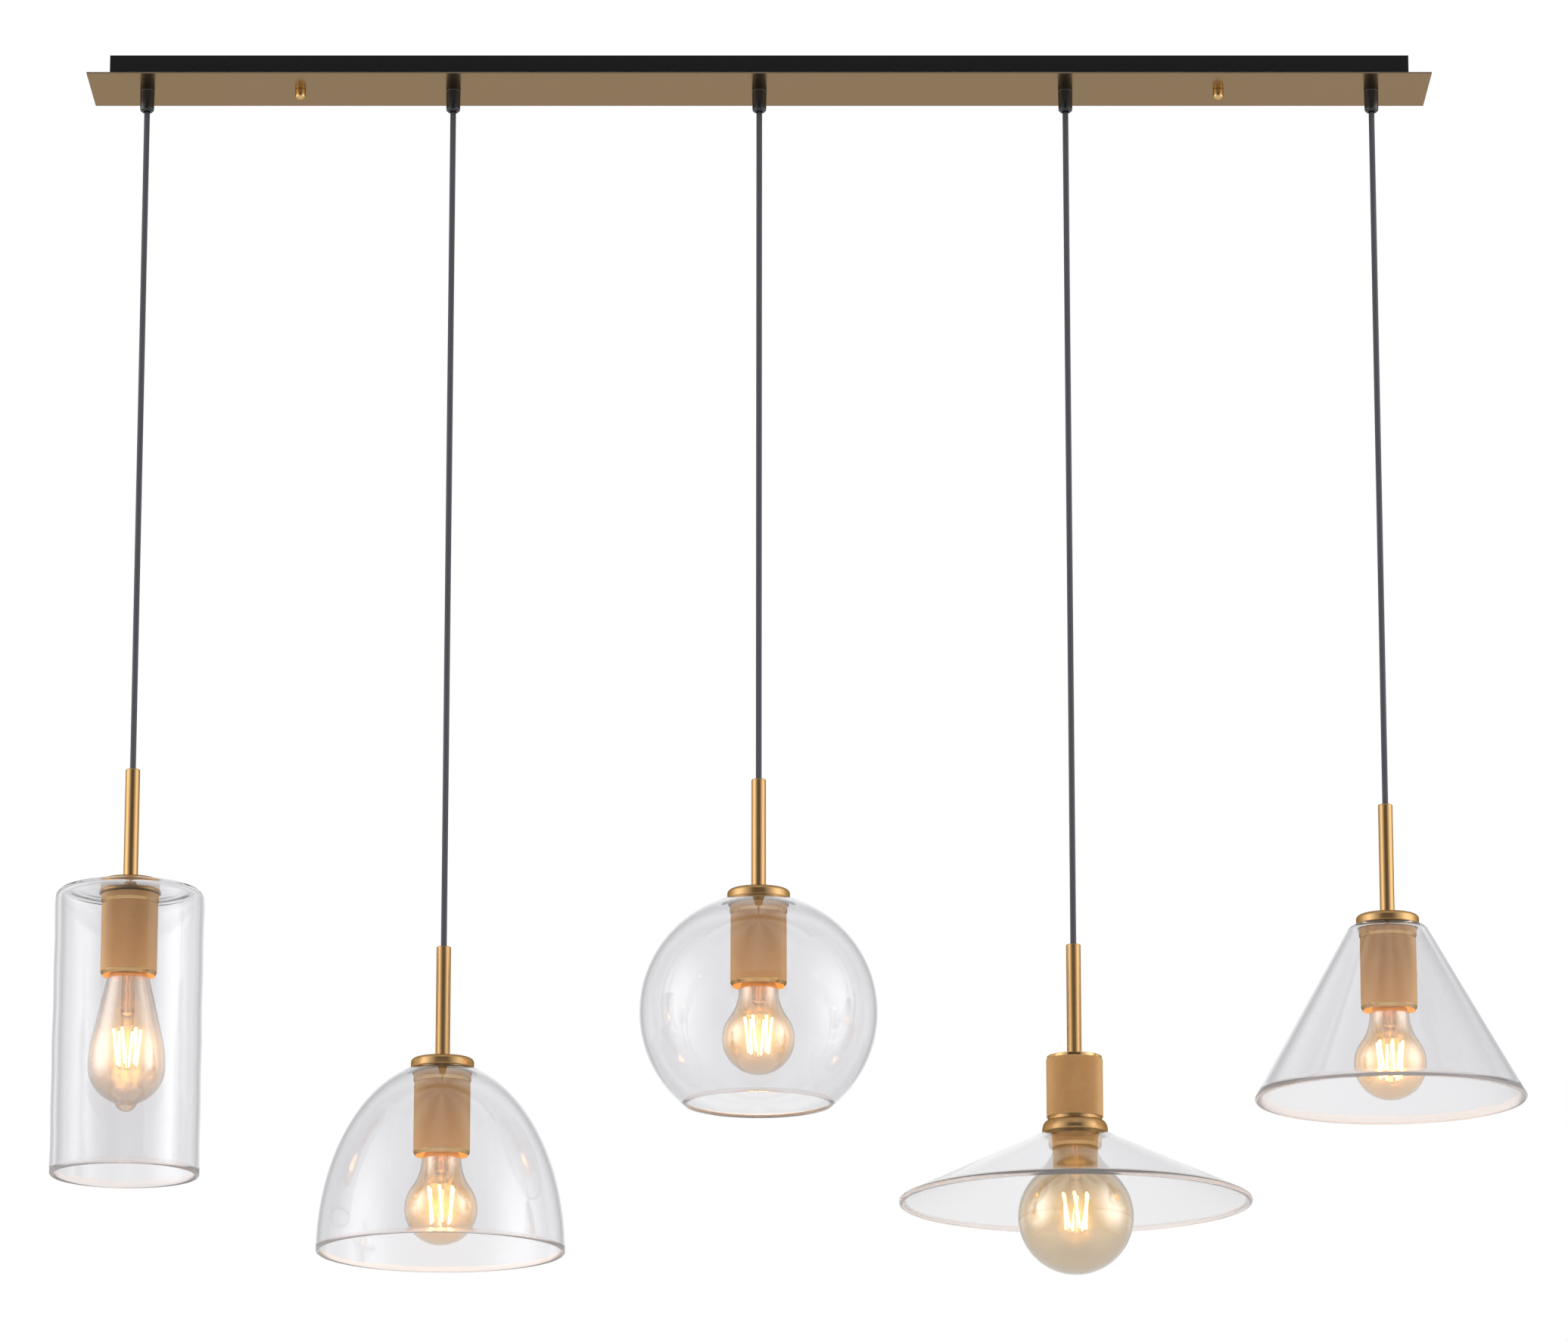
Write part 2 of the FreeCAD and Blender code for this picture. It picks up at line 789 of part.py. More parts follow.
def filament_body(label, stick_drop):
    """Glass mount with its crimp and rod, and a cage of glowing sticks round it."""
    body = new_body(label)
    flare_top = -s.screw_cap_height + s.lamp_glass_wall
    flare_low = flare_top - s.lamp_glass_wall
    flare = s.screw_cap_radius - s.screw_cap_wall - s.lamp_glass_wall - s.thread_gap * 4
    top = -stick_drop
    low = top - s.stick_length
    crimp_low = top + s.wire_width
    crimp_top = crimp_low + s.crimp_height
    rod_low = low - s.wire_width * 3
    revolve(
        body,
        label + "_mount",
        [
            (zero, flare_top),
            (zero, rod_low),
            (s.rod_radius, rod_low),
            (s.rod_radius, crimp_low),
            (s.crimp_radius, crimp_low),
            (s.crimp_radius, crimp_top),
            (s.mount_radius, crimp_top),
            (s.mount_radius, flare_low - s.mount_radius),
            (flare, flare_low),
            (flare, flare_top),
        ],
    )
    half = s.stick_width / 2
    wire = s.wire_width
    cage = pad(
        body,
        label + "_stick",
        "XZ_Plane",
        [
            (zero, top + wire),
            (zero, top),
            (s.stick_top_radius - half, top),
            (s.stick_low_radius - half, low),
            (zero, low),
            (zero, low - wire),
            (s.stick_low_radius + half, low - wire),
            (s.stick_top_radius + half, top + wire),
        ],
        s.stick_width,
        True,
    )
    ring = body.newObject("PartDesign::PolarPattern", label + "_cage")
    ring.Originals = [cage]
    ring.Axis = (cage.Profile[0], ["V_Axis"])
    ring.Angle = 360.0
    ring.Occurrences = STICK_COUNT
    body.Tip = ring
    return body


def make_lamp(number, side, stick_drop, x, contact):
    glass = glass_body(f"lamp_glass_{number}", side)
    cap = turned(f"lamp_cap_{number}", screw_cap_corners())
    filament = filament_body(f"filament_{number}", stick_drop)
    for piece in (glass, cap, filament):
        place(piece, x=x, z=contact)


# Fittings, drawn downwards from the foot of the stem at height zero

contact_height = -s.fitting_height + s.lamp_inside
tall_contact_height = -s.fitting_height + s.tall_lamp_inside
glass_top = -s.cap_height
ring_top = glass_top - s.glass_seat
sleeve_top = ring_top - s.ring_height
neck_bore = s.neck_radius - s.neck_wall
nut_bore = s.neck_radius + s.thread_gap


def thread_end(contact):
    """Height at which the lampholder's thread ends, and the cord with it."""
    return contact + s.holder_gap + s.holder_web / 2


def stem_corners(contact):
    soft = s.stem_round
    nipple_low = thread_end(contact) + s.holder_gap
    return [
        (s.stem_bore, nipple_low),
        (s.nipple_radius, nipple_low),
        (s.nipple_radius, zero),
        (s.stem_radius, zero),
        (s.stem_radius, s.stem_length - soft),
        (s.stem_radius - soft, s.stem_length, soft, 1),
        (s.stem_bore, s.stem_length),
    ]


def shade_cap_corners():
    """Cap on top of the glass, with the threaded neck that passes down through it."""
    hole = s.nipple_radius + s.thread_gap
    low = sleeve_top - s.neck_in_sleeve
    return [
        (hole, zero),
        (hole, -s.cap_web),
        (neck_bore, -s.cap_web),
        (neck_bore, low),
        (s.neck_radius, low),
        (s.neck_radius, -s.cap_web),
        (s.cap_radius - s.cap_lip, -s.cap_web),
        (s.cap_radius - s.cap_lip, glass_top),
        (s.cap_radius, glass_top),
        (s.cap_radius, -s.cap_round),
        (s.cap_radius - s.cap_round, zero, s.cap_round, 1),
    ]


def ring_corners(radius, top, height):
    """Ring nut under the glass, with a wide bevel round its lower edge."""
    edge = s.ring_edge
    low = top - height
    return [
        (nut_bore, top),
        (nut_bore, low),
        (radius - s.ring_bevel_width, low),
        (radius, low + s.ring_bevel),
        (radius, top - edge),
        (radius - edge, top),
    ]


def sleeve_corners():
    """Sleeve that hangs inside the shade, open below, with a bevel round its mouth."""
    low = -s.fitting_height
    return [
        (nut_bore, sleeve_top),
        (nut_bore, sleeve_top - s.sleeve_web),
        (s.sleeve_bore, sleeve_top - s.sleeve_web),
        (s.sleeve_bore, low + s.ring_edge),
        (s.sleeve_bore + s.ring_edge / 2, low),
        (s.sleeve_radius - s.sleeve_bevel_width, low),
        (s.sleeve_radius, low + s.sleeve_bevel),
        (s.sleeve_radius, sleeve_top - s.ring_edge),
        (s.sleeve_radius - s.ring_edge, sleeve_top),
    ]


def tall_sleeve_corners():
    """Sleeve above the glass, closed at its top round the stem's nipple."""
    hole = s.nipple_radius + s.thread_gap
    edge = s.sleeve_radius - s.sleeve_bevel_width / 2
    low = -s.tall_sleeve_height
    return [
        (hole, zero),
        (hole, -s.tall_top_bevel),
        (s.sleeve_bore, -s.tall_top_bevel),
        (s.sleeve_bore, low),
        (s.sleeve_radius, low),
        (s.sleeve_radius, -s.tall_top_bevel),
        (edge, -s.tall_top_bevel),
        (edge, zero),
    ]


def flange_corners():
    """Flange between the tall sleeve and the glass, with the neck that passes through it."""
    collar_top = -s.tall_sleeve_height
    collar_low = collar_top - s.collar_height
    low = collar_low - s.flange_height
    neck_low = low - s.glass_seat - s.tall_ring_height
    spigot = s.sleeve_bore - s.thread_gap
    wide = s.flange_radius - s.collar_radius
    bell_low = low + s.flange_lip
    tall = collar_low - bell_low
    bell_radius = (tall * tall + wide * wide) / (wide * 2)
    return [
        (neck_bore, collar_top + s.spigot_rise),
        (neck_bore, neck_low),
        (s.neck_radius, neck_low),
        (s.neck_radius, low),
        (s.flange_radius - s.flange_lip / 2, low),
        (s.flange_radius, bell_low),
        (s.collar_radius, collar_low, bell_radius, 1),
        (s.collar_radius, collar_top),
        (spigot, collar_top),
        (spigot, collar_top + s.spigot_rise),
    ]


def holder_corners(boss_top, contact):
    """Lampholder: a boss that takes the stem's nipple, and a cup round the lamp's screw cap."""
    bore = s.screw_cap_radius + s.holder_gap
    nipple = s.nipple_radius + s.thread_gap
    bore_top = contact + s.holder_gap
    top = bore_top + s.holder_web
    end = thread_end(contact)
    low = contact - s.screw_cap_height + s.holder_lift
    return [
        (nipple, boss_top),
        (nipple, end),
        (zero, end),
        (zero, bore_top),
        (bore, bore_top),
        (bore, low),
        (s.holder_radius, low),
        (s.holder_radius, top),
        (s.holder_boss_radius, top),
        (s.holder_boss_radius, boss_top),
    ]


def make_cord(number, x, end):
    """The cord hangs straight from the mouth of its grip, through the stem, to the lampholder."""
    radius = s.cord_radius
    corners = [(zero, pivot_height), (zero, end), (radius, end), (radius, pivot_height)]
    cord = turned(f"cord_{number}", corners)
    place(cord, x=x)


def make_pendant(number, x, drop, make_shade, lamp_side, stick_drop, tall=False):
    foot = plate_low - drop - s.stem_length
    contact = tall_contact_height if tall else contact_height
    make_cord(number, x, foot + thread_end(contact))
    stem = turned(f"stem_{number}", stem_corners(contact))
    if tall:
        cap = turned(f"shade_cap_{number}", flange_corners())
        seat = -s.tall_sleeve_height - s.collar_height - s.flange_height
        ring = turned(
            f"ring_nut_{number}",
            ring_corners(s.tall_ring_radius, seat - s.glass_seat, s.tall_ring_height),
        )
        sleeve = turned(f"sleeve_{number}", tall_sleeve_corners())
        holder = turned(f"lampholder_{number}", holder_corners(-s.tall_top_bevel, contact))
    else:
        cap = turned(f"shade_cap_{number}", shade_cap_corners())
        seat = glass_top
        ring = turned(
            f"ring_nut_{number}", ring_corners(s.ring_radius, ring_top, s.ring_height)
        )
        sleeve = turned(f"sleeve_{number}", sleeve_corners())
        holder = turned(f"lampholder_{number}", holder_corners(-s.cap_web, contact))
    for piece in (stem, cap, ring, sleeve, holder):
        place(piece, x=x, z=foot)
    shade = make_shade(f"shade_{number}")
    place(shade, x=x, z=foot + seat)
    make_lamp(number, lamp_side, stick_drop, x, foot + contact)


# Glass shades, drawn downwards from the ground seat on their top at height zero

hole_radius = s.neck_radius + s.hole_gap
seat_low = -s.glass_seat


def tube_shade(label):
    """Straight tube with a closed flat top and a rounded shoulder."""
    radius, wall = s.tube_shade_radius, s.tube_shade_wall
    shoulder = s.tube_shade_shoulder
    low = -s.tube_shade_height
    soft = s.rim_round
    inner = radius - wall
    inner_round = shoulder - wall
    return turned(
        label,
        [
            (hole_radius, zero),
            (hole_radius, seat_low),
            (inner - inner_round, seat_low),
            (inner, seat_low - inner_round, inner_round, -1),
            (inner, low + soft),
            (inner + soft, low, soft, 1),
            (radius - soft, low),
            (radius, low + soft, soft, 1),
            (radius, -shoulder),
            (radius - shoulder, zero, shoulder, 1),
        ],
    )


def oval(label, wide, tall):
    thing = doc.addObject("Part::Ellipsoid", label)
    thing.setExpression("Radius1", tall.text)
    thing.setExpression("Radius2", wide.text)
    thing.setExpression("Radius3", wide.text)
    return thing


def post(label, radius, low, high):
    thing = doc.addObject("Part::Cylinder", label)
    thing.setExpression("Radius", radius.text)
    thing.setExpression("Height", (high - low).text)
    place(thing, z=low)
    return thing


def join(kind, label, base, tool):
    thing = doc.addObject(kind, label)
    thing.Base = base
    thing.Tool = tool
    return thing


def dome_shade(label):
    """Half of an oval shell, flat ground at its top round the hole."""
    wide, tall, wall = s.dome_shade_radius, s.dome_shade_semi_height, s.dome_shade_wall
    seat = s.cap_radius
    top = tall * root(as_size(1) - seat * seat / (wide * wide))
    outer = join(
        "Part::Common",
        label + "_outer",
        oval(label + "_oval", wide, tall),
        post(label + "_space", wide * 2, zero, top),
    )
    hollow = join(
        "Part::Common",
        label + "_hollow",
        oval(label + "_hollow_oval", wide - wall, tall - wall),
        post(label + "_hollow_space", wide * 2, -wall, top - s.glass_seat),
    )
    shell = join("Part::Cut", label + "_shell", outer, hollow)
    bored = join(
        "Part::Cut",
        label + "_bored",
        shell,
        post(label + "_hole", hole_radius, zero, top + s.glass_seat),
    )
    piece = keep(doc.addObject("Part::Compound", label + "_piece"), label)
    for feature in (outer, hollow, shell, bored):
        feature.Visibility = False
    place(bored, z=-top)
    piece.Links = [bored]
    return piece


def globe_shade(label):
    """Ball of glass with a wide mouth below and a flat ground seat on top."""
    radius, wall, mouth = s.globe_shade_radius, s.globe_shade_wall, s.globe_shade_mouth
    seat = s.cap_radius
    centre = -root(radius * radius - seat * seat)
    inner = radius - wall
    inner_seat = root(inner * inner - (seat_low - centre) * (seat_low - centre))
    low = centre - root(radius * radius - mouth * mouth)
    inner_mouth = root(inner * inner - (centre - low) * (centre - low))
    return turned(
        label,
        [
            (hole_radius, zero),
            (hole_radius, seat_low),
            (inner_seat, seat_low),
            (inner, centre, inner, -1),
            (inner_mouth, low, inner, -1),
            (mouth, low),
            (radius, centre, radius, 1),
            (seat, zero, radius, 1),
        ],
    )


def flat_shade(label):
    """Wide shallow cone with a thick rounded rim."""
    radius, wall, height = s.flat_shade_radius, s.flat_shade_wall, s.flat_shade_height
    seat = s.flange_radius
    lip = s.flat_shade_lip
    soft = lip / 2
    slope = (height - lip) / (radius - seat)
    inner_seat = seat + (wall - s.glass_seat) / slope
    return turned(
        label,
        [
            (hole_radius, zero),
            (hole_radius, seat_low),
            (inner_seat, seat_low),
            (radius - lip, -height + lip + slope * lip - wall),
            (radius - soft, -height),
            (radius, -height + soft, soft, 1),
            (radius, -height + lip),
            (seat, zero),
        ],
    )


def cone_shade(label):
    """Tall cone with a small flat top and a rounded shoulder."""
    radius, wall, height = s.cone_shade_radius, s.cone_shade_wall, s.cone_shade_height
    top = s.cone_shade_top
    soft = s.cone_shade_shoulder
    rim = s.rim_round
    slope = (radius - top) / height
    length = root(slope * slope + as_size(1))
    # the shoulder touches the flat top and the flank
    back = soft * (length - slope)
    knee = (top - back, zero)
    tangent = (top + back * slope / length, -back / length)
    across = wall * length
    inner_top = top + slope * s.glass_seat - across
    return turned(
        label,
        [
            (hole_radius, zero),
            (hole_radius, seat_low),
            (inner_top, seat_low),
            (radius - across, -height),
            (radius - rim, -height),
            (radius, -height + rim, rim, 1),
            tangent,
            (*knee, soft, 1),
        ],
    )


# Assembly


def standard_side(wall):
    return waisted_corners(
        s.standard_lamp_radius,
        s.standard_lamp_shank,
        s.standard_lamp_neck,
        s.standard_lamp_waist,
        wall,
    )


def globe_side(wall):
    return waisted_corners(
        s.globe_lamp_radius, s.globe_lamp_shank, s.globe_lamp_neck, s.globe_lamp_waist, wall
    )


make_bracket()
make_studs()
make_box()
make_plate()
make_cap_nuts()
make_grips()
make_terminal_block()
make_leads()

make_pendant(1, first_x, s.first_drop, tube_shade, pear_corners, s.stick_drop_pear)
make_pendant(
    2, -s.pendant_pitch, s.second_drop, dome_shade, standard_side, s.stick_drop_standard
)
make_pendant(3, zero, s.third_drop, globe_shade, standard_side, s.stick_drop_standard)
make_pendant(
    4, s.pendant_pitch, s.fourth_drop, flat_shade, globe_side, s.stick_drop_globe, tall=True
)
make_pendant(
    5, s.pendant_pitch * 2, s.fifth_drop, cone_shade, standard_side, s.stick_drop_standard
)

doc.recompute()

faults = [o.Label for o in doc.Objects if "Invalid" in o.State or "Error" in o.State]
faults += [o.Label for o in made if o.Shape.isNull() or not o.Shape.isValid()]
if faults:
    raise SystemExit("these did not build: " + ", ".join(faults))

os.makedirs("parts", exist_ok=True)
for piece in made:
    piece.Shape.exportStep(f"parts/{piece.Label}.step")
    box = piece.Shape.BoundBox
    print(
        f"{piece.Label}: {len(piece.Shape.Solids)} solid(s), "
        f"{box.XLength:.1f} x {box.YLength:.1f} x {box.ZLength:.1f} mm"
    )
print(len(made), "nodes")
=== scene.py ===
# %% [markdown]
# # A pendant light with five glass shades
#
# The light hangs from a ceiling: a black box with a long brass plate under it, five dark cords,
# and on each cord a brass stem, a knurled fitting, a clear glass shade of its own form and an
# amber lamp with lit sticks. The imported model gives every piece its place. This script gives the
# pieces their looks.

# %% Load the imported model
import math

import bmesh
import bpy
import numpy as np
from mathutils import Matrix, Vector


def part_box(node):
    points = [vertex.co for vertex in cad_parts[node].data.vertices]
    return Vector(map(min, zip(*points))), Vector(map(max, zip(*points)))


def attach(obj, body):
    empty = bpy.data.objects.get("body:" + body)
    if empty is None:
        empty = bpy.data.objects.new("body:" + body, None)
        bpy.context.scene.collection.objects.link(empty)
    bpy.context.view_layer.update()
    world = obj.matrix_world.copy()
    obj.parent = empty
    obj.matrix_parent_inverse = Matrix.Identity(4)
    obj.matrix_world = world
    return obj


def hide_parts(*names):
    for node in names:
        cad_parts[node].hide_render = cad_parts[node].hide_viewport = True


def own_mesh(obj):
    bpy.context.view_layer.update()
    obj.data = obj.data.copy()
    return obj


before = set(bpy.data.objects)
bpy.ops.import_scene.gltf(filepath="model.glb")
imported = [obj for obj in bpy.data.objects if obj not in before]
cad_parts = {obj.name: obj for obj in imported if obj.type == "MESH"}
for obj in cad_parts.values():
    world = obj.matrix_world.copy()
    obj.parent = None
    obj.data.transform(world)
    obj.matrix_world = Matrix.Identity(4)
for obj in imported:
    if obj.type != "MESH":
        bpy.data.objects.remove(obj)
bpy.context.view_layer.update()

# %% [markdown]
# ## The camera
#
# The photograph looks slightly up at the light from far away, so that upright lines stay upright.
# A long lens six metres in front of the cords does the same. The lens follows from the picture's
# own measures: the focal length in pixels, over the picture's width, times the sensor's width.

# %% Camera
PHOTO_WIDTH = 2072
FOCAL_PIXELS = 9794
SENSOR = 36.0
CAMERA_PLACE = (0.021, -6.0, -2.007)
LOOKS_UP = 13.82
camera_data = bpy.data.cameras.new("camera")
camera_data.sensor_width = SENSOR
camera_data.lens = FOCAL_PIXELS / PHOTO_WIDTH * SENSOR
camera_data.clip_end = 100
camera = bpy.data.objects.new("camera", camera_data)
camera.location = CAMERA_PLACE
camera.rotation_euler = (math.radians(90 + LOOKS_UP), 0, 0)
bpy.context.scene.collection.objects.link(camera)
bpy.context.scene.camera = camera
print("lens", round(camera_data.lens, 1), "mm")

# %% [markdown]
# ## Where the pieces are
#
# A scene that repeats the model's numbers goes wrong when the model changes. So each pendant's
# axis, the foot of its stem and the tip of its lamp's contact are read from the boxes of the
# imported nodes. Outlines below are in millimetres, as a maker would write them, and `MM` turns them
# into metres.

# %% Pendants
MM = 0.001
STEM_LENGTH = 94
PENDANTS = (1, 2, 3, 4, 5)
TALL = 4


def axis_of(number):
    low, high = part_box(f"stem_{number}")
    return (low.x + high.x) / 2


def foot_of(number):
    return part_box(f"stem_{number}")[1].z - STEM_LENGTH * MM


def contact_of(number):
    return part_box(f"lamp_cap_{number}")[1].z


for number in PENDANTS:
    print("pendant", number, "axis", round(axis_of(number), 3), "foot", round(foot_of(number), 4))

# %% [markdown]
# ## Outlines and turned forms
#
# Nearly everything here was turned on a lathe or blown in a round mould, so its shape is an
# outline spun round an axis. Blender's Screw modifier could do it, but a small function gives
# closer control: rings may be knurled or uneven, and each band of rings can have its own finish.

# %% Soft outlines


def arc(across, up, radius, start, end, steps=12):
    """Points on a circle round (across, up), from one angle to another, in degrees."""
    turns = [math.radians(start + (end - start) * step / steps) for step in range(steps + 1)]
    return [(across + radius * math.cos(t), up + radius * math.sin(t)) for t in turns]


def soften(corners, closed=True, steps=4):
    """Corners are (radius, height) or (radius, height, rounding). A rounding becomes an arc."""
    points = []
    count = len(corners)
    for index, corner in enumerate(corners):
        here = Vector(corner[:2])
        inner_corner = closed or 0 < index < count - 1
        if len(corner) < 3 or not inner_corner:
            points.append(tuple(here))
            continue
        back = (Vector(corners[index - 1][:2]) - here).normalized()
        on = (Vector(corners[(index + 1) % count][:2]) - here).normalized()
        half = back.angle(on) / 2
        centre = here + (back + on).normalized() * (corner[2] / math.sin(half))
        first = here + back * (corner[2] / math.tan(half)) - centre
        last = here + on * (corner[2] / math.tan(half)) - centre
        start = math.atan2(first.y, first.x)
        turn = math.atan2(last.y, last.x) - start
        turn = (turn + math.pi) % (2 * math.pi) - math.pi
        points += arc(*centre, corner[2], math.degrees(start), math.degrees(start + turn), steps)
    return points


def refine(points, step):
    """Adds points on long runs, none further apart than the step."""
    fine = [points[0]]
    for start, end in zip(points, points[1:]):
        parts = max(1, math.ceil(math.dist(start, end) / step))
        for part in range(1, parts + 1):
            share = part / parts
            fine.append(tuple(a + (b - a) * share for a, b in zip(start, end)))
    return fine


def even(points, step):
    """The same for a closed outline."""
    return refine(points + points[:1], step)[:-1]


def shell(outer, wall, rim_steps=6):
    """Closes one side of a glass into a wall of even thickness with a melted, rounded end."""
    outer = np.array(outer, float)
    along = np.gradient(outer, axis=0)
    along /= np.linalg.norm(along, axis=1)[:, None]
    inward = np.column_stack((along[:, 1], -along[:, 0]))
    if inward[len(outer) // 2, 0] > 0:
        inward = -inward
    inner = outer + inward * wall
    if outer[-1, 0] < 1e-6:
        inner[-1] = (0.0, outer[-1, 1] + wall)
        return [tuple(p) for p in outer] + [tuple(p) for p in inner[::-1]]
    middle, reach = (outer[-1] + inner[-1]) / 2, (outer[-1] - inner[-1]) / 2
    swing = [math.pi * step / rim_steps for step in range(1, rim_steps)]
    rim = [middle + reach * math.cos(t) + along[-1] * (wall / 2 * math.sin(t)) for t in swing]
    return [tuple(p) for p in outer] + [tuple(p) for p in rim] + [tuple(p) for p in inner[::-1]]


# %% Forms made of rings


class Row:
    """One ring of points. A groove makes every other point lower, as on a knurled ring."""

    def __init__(self, radius, height, finish=0, groove=0.0, shift=0):
        self.radius, self.height, self.finish = radius, height, finish
        self.groove, self.shift = groove, shift


class Form:
    """Points in millimetres and the faces between them, each face with a number for its finish."""

    def __init__(self, points, faces, finishes):
        self.points = np.array(points, float).reshape(-1, 3)
        self.faces, self.finishes = faces, finishes

    def moved(self, matrix):
        turned = self.points @ np.array(matrix.to_3x3()).T + np.array(matrix.translation)
        return Form(turned, self.faces, self.finishes)

    def __add__(self, other):
        start = len(self.points)
        faces = self.faces + [tuple(i + start for i in face) for face in other.faces]
        points = np.vstack((self.points, other.points))
        return Form(points, faces, self.finishes + other.finishes)


def spin(rows, turns=96, closed=True, ripple=None):
    """Spins rows, each a Row or (radius, height), round Z. ripple(angles, row) adds to a radius."""
    rows = [row if isinstance(row, Row) else Row(*row) for row in rows]
    angles = np.arange(turns) * (2 * math.pi / turns)
    points, starts, faces, finishes = [], [], [], []
    for row in rows:
        starts.append(len(points))
        if row.radius < 1e-6:
            points.append((0, 0, row.height))
            continue
        radii = row.radius - row.groove * ((np.arange(turns) + row.shift) % 2)
        if ripple:
            radii = radii + ripple(angles, row)
        heights = np.full(turns, row.height)
        points += list(zip(radii * np.cos(angles), radii * np.sin(angles), heights))
    pairs = [(k, k + 1) for k in range(len(rows) - 1)] + [(len(rows) - 1, 0)] * closed
    for low, high in pairs:
        a, b, row = starts[low], starts[high], rows[low]
        pole_low, pole_high = rows[low].radius < 1e-6, rows[high].radius < 1e-6
        if pole_low and pole_high:
            continue
        for i in range(turns):
            j = (i + 1) % turns
            if pole_low:
                made = [(a, b + j, b + i)]
            elif pole_high:
                made = [(a + i, a + j, b)]
            elif row.groove and rows[high].groove:
                # the grooves run corner to corner, so each cell is split along its groove
                if (i + row.shift) % 2:
                    made = [(a + i, a + j, b + j), (a + i, b + j, b + i)]
                else:
                    made = [(a + i, a + j, b + i), (a + j, b + j, b + i)]
            else:
                made = [(a + i, a + j, b + j, b + i)]
            faces += made
            finishes += [row.finish] * len(made)
    return Form(points, faces, finishes)


def join(points, sides):
    """Joins rings of points, one after another, and closes both ends."""
    faces = []
    for start in range(0, len(points) - sides, sides):
        for k in range(sides):
            a, b = start + k, start + (k + 1) % sides
            faces.append((a, b, b + sides, a + sides))
    faces += [tuple(range(sides))[::-1], tuple(range(len(points) - sides, len(points)))]
    return Form(points, faces, [0] * len(faces))


def tube(path, radius, sides=6):
    """A round wire along points in millimetres."""
    path = [Vector(p) for p in path]
    points, side = [], None
    for index, here in enumerate(path):
        ahead = (path[min(index + 1, len(path) - 1)] - path[max(index - 1, 0)]).normalized()
        side = side or ahead.orthogonal()
        side = (side - ahead * side.dot(ahead)).normalized()
        other = ahead.cross(side)
        for k in range(sides):
            t = 2 * math.pi * k / sides
            points.append(tuple(here + (side * math.cos(t) + other * math.sin(t)) * radius))
    return join(points, sides)


def piece(name, form, materials, x=0.0, z=0.0, crease=35):
    """Makes a Blender object of a form, at (x, 0, z) in metres."""
    mesh = bpy.data.meshes.new(name)
    mesh.from_pydata([tuple(p) for p in form.points * MM], [], form.faces)
    for material in materials:
        mesh.materials.append(material)
    mesh.polygons.foreach_set("material_index", form.finishes)
    mesh.validate()
    work = bmesh.new()
    work.from_mesh(mesh)
    bmesh.ops.recalc_face_normals(work, faces=work.faces)
    work.to_mesh(mesh)
    work.free()
    mesh.shade_smooth()
    mesh.set_sharp_from_angle(angle=math.radians(crease))
    made = bpy.data.objects.new(name, mesh)
    made.location = (x, 0, z)
    bpy.context.scene.collection.objects.link(made)
    return made


def fit(made, body, slot, *nodes):
    """Ties a piece to the body it moves with and hides the nodes it replaces. The slot is not used.
    """
    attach(made, body)
    if nodes:
        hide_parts(*nodes)


def hide_from(made, *kinds):
    """Hides a thing from some kinds of rays."""
    for kind in kinds:
        setattr(made, f"visible_{kind}", False)


print("forms: rings, wires and shells are ready")

# %% [markdown]
# ## Nodes as sums
#
# A material in Blender is a graph of nodes. Wiring each one by hand hides the idea, so a small
# class wraps an output and gives it arithmetic: `1 - mask` adds the Math node by itself.

# %% Node arithmetic


class Wire:
    """The output of a node. Sums and products with it add Math nodes."""

    def __init__(self, paint, socket):
        self.paint, self.socket = paint, socket

    def reckon(self, operation, first, second):
        return self.paint.node("ShaderNodeMath", {"operation": operation}, {0: first, 1: second})

    def __add__(self, other):
        return self.reckon("ADD", self, other)

    def __sub__(self, other):
        return self.reckon("SUBTRACT", self, other)

    def __rsub__(self, other):
        return self.reckon("SUBTRACT", other, self)

    def __mul__(self, other):
        return self.reckon("MULTIPLY", self, other)

    def __truediv__(self, other):
        return self.reckon("DIVIDE", self, other)

    def __pow__(self, other):
        return self.reckon("POWER", self, other)

    __radd__, __rmul__ = __add__, __mul__


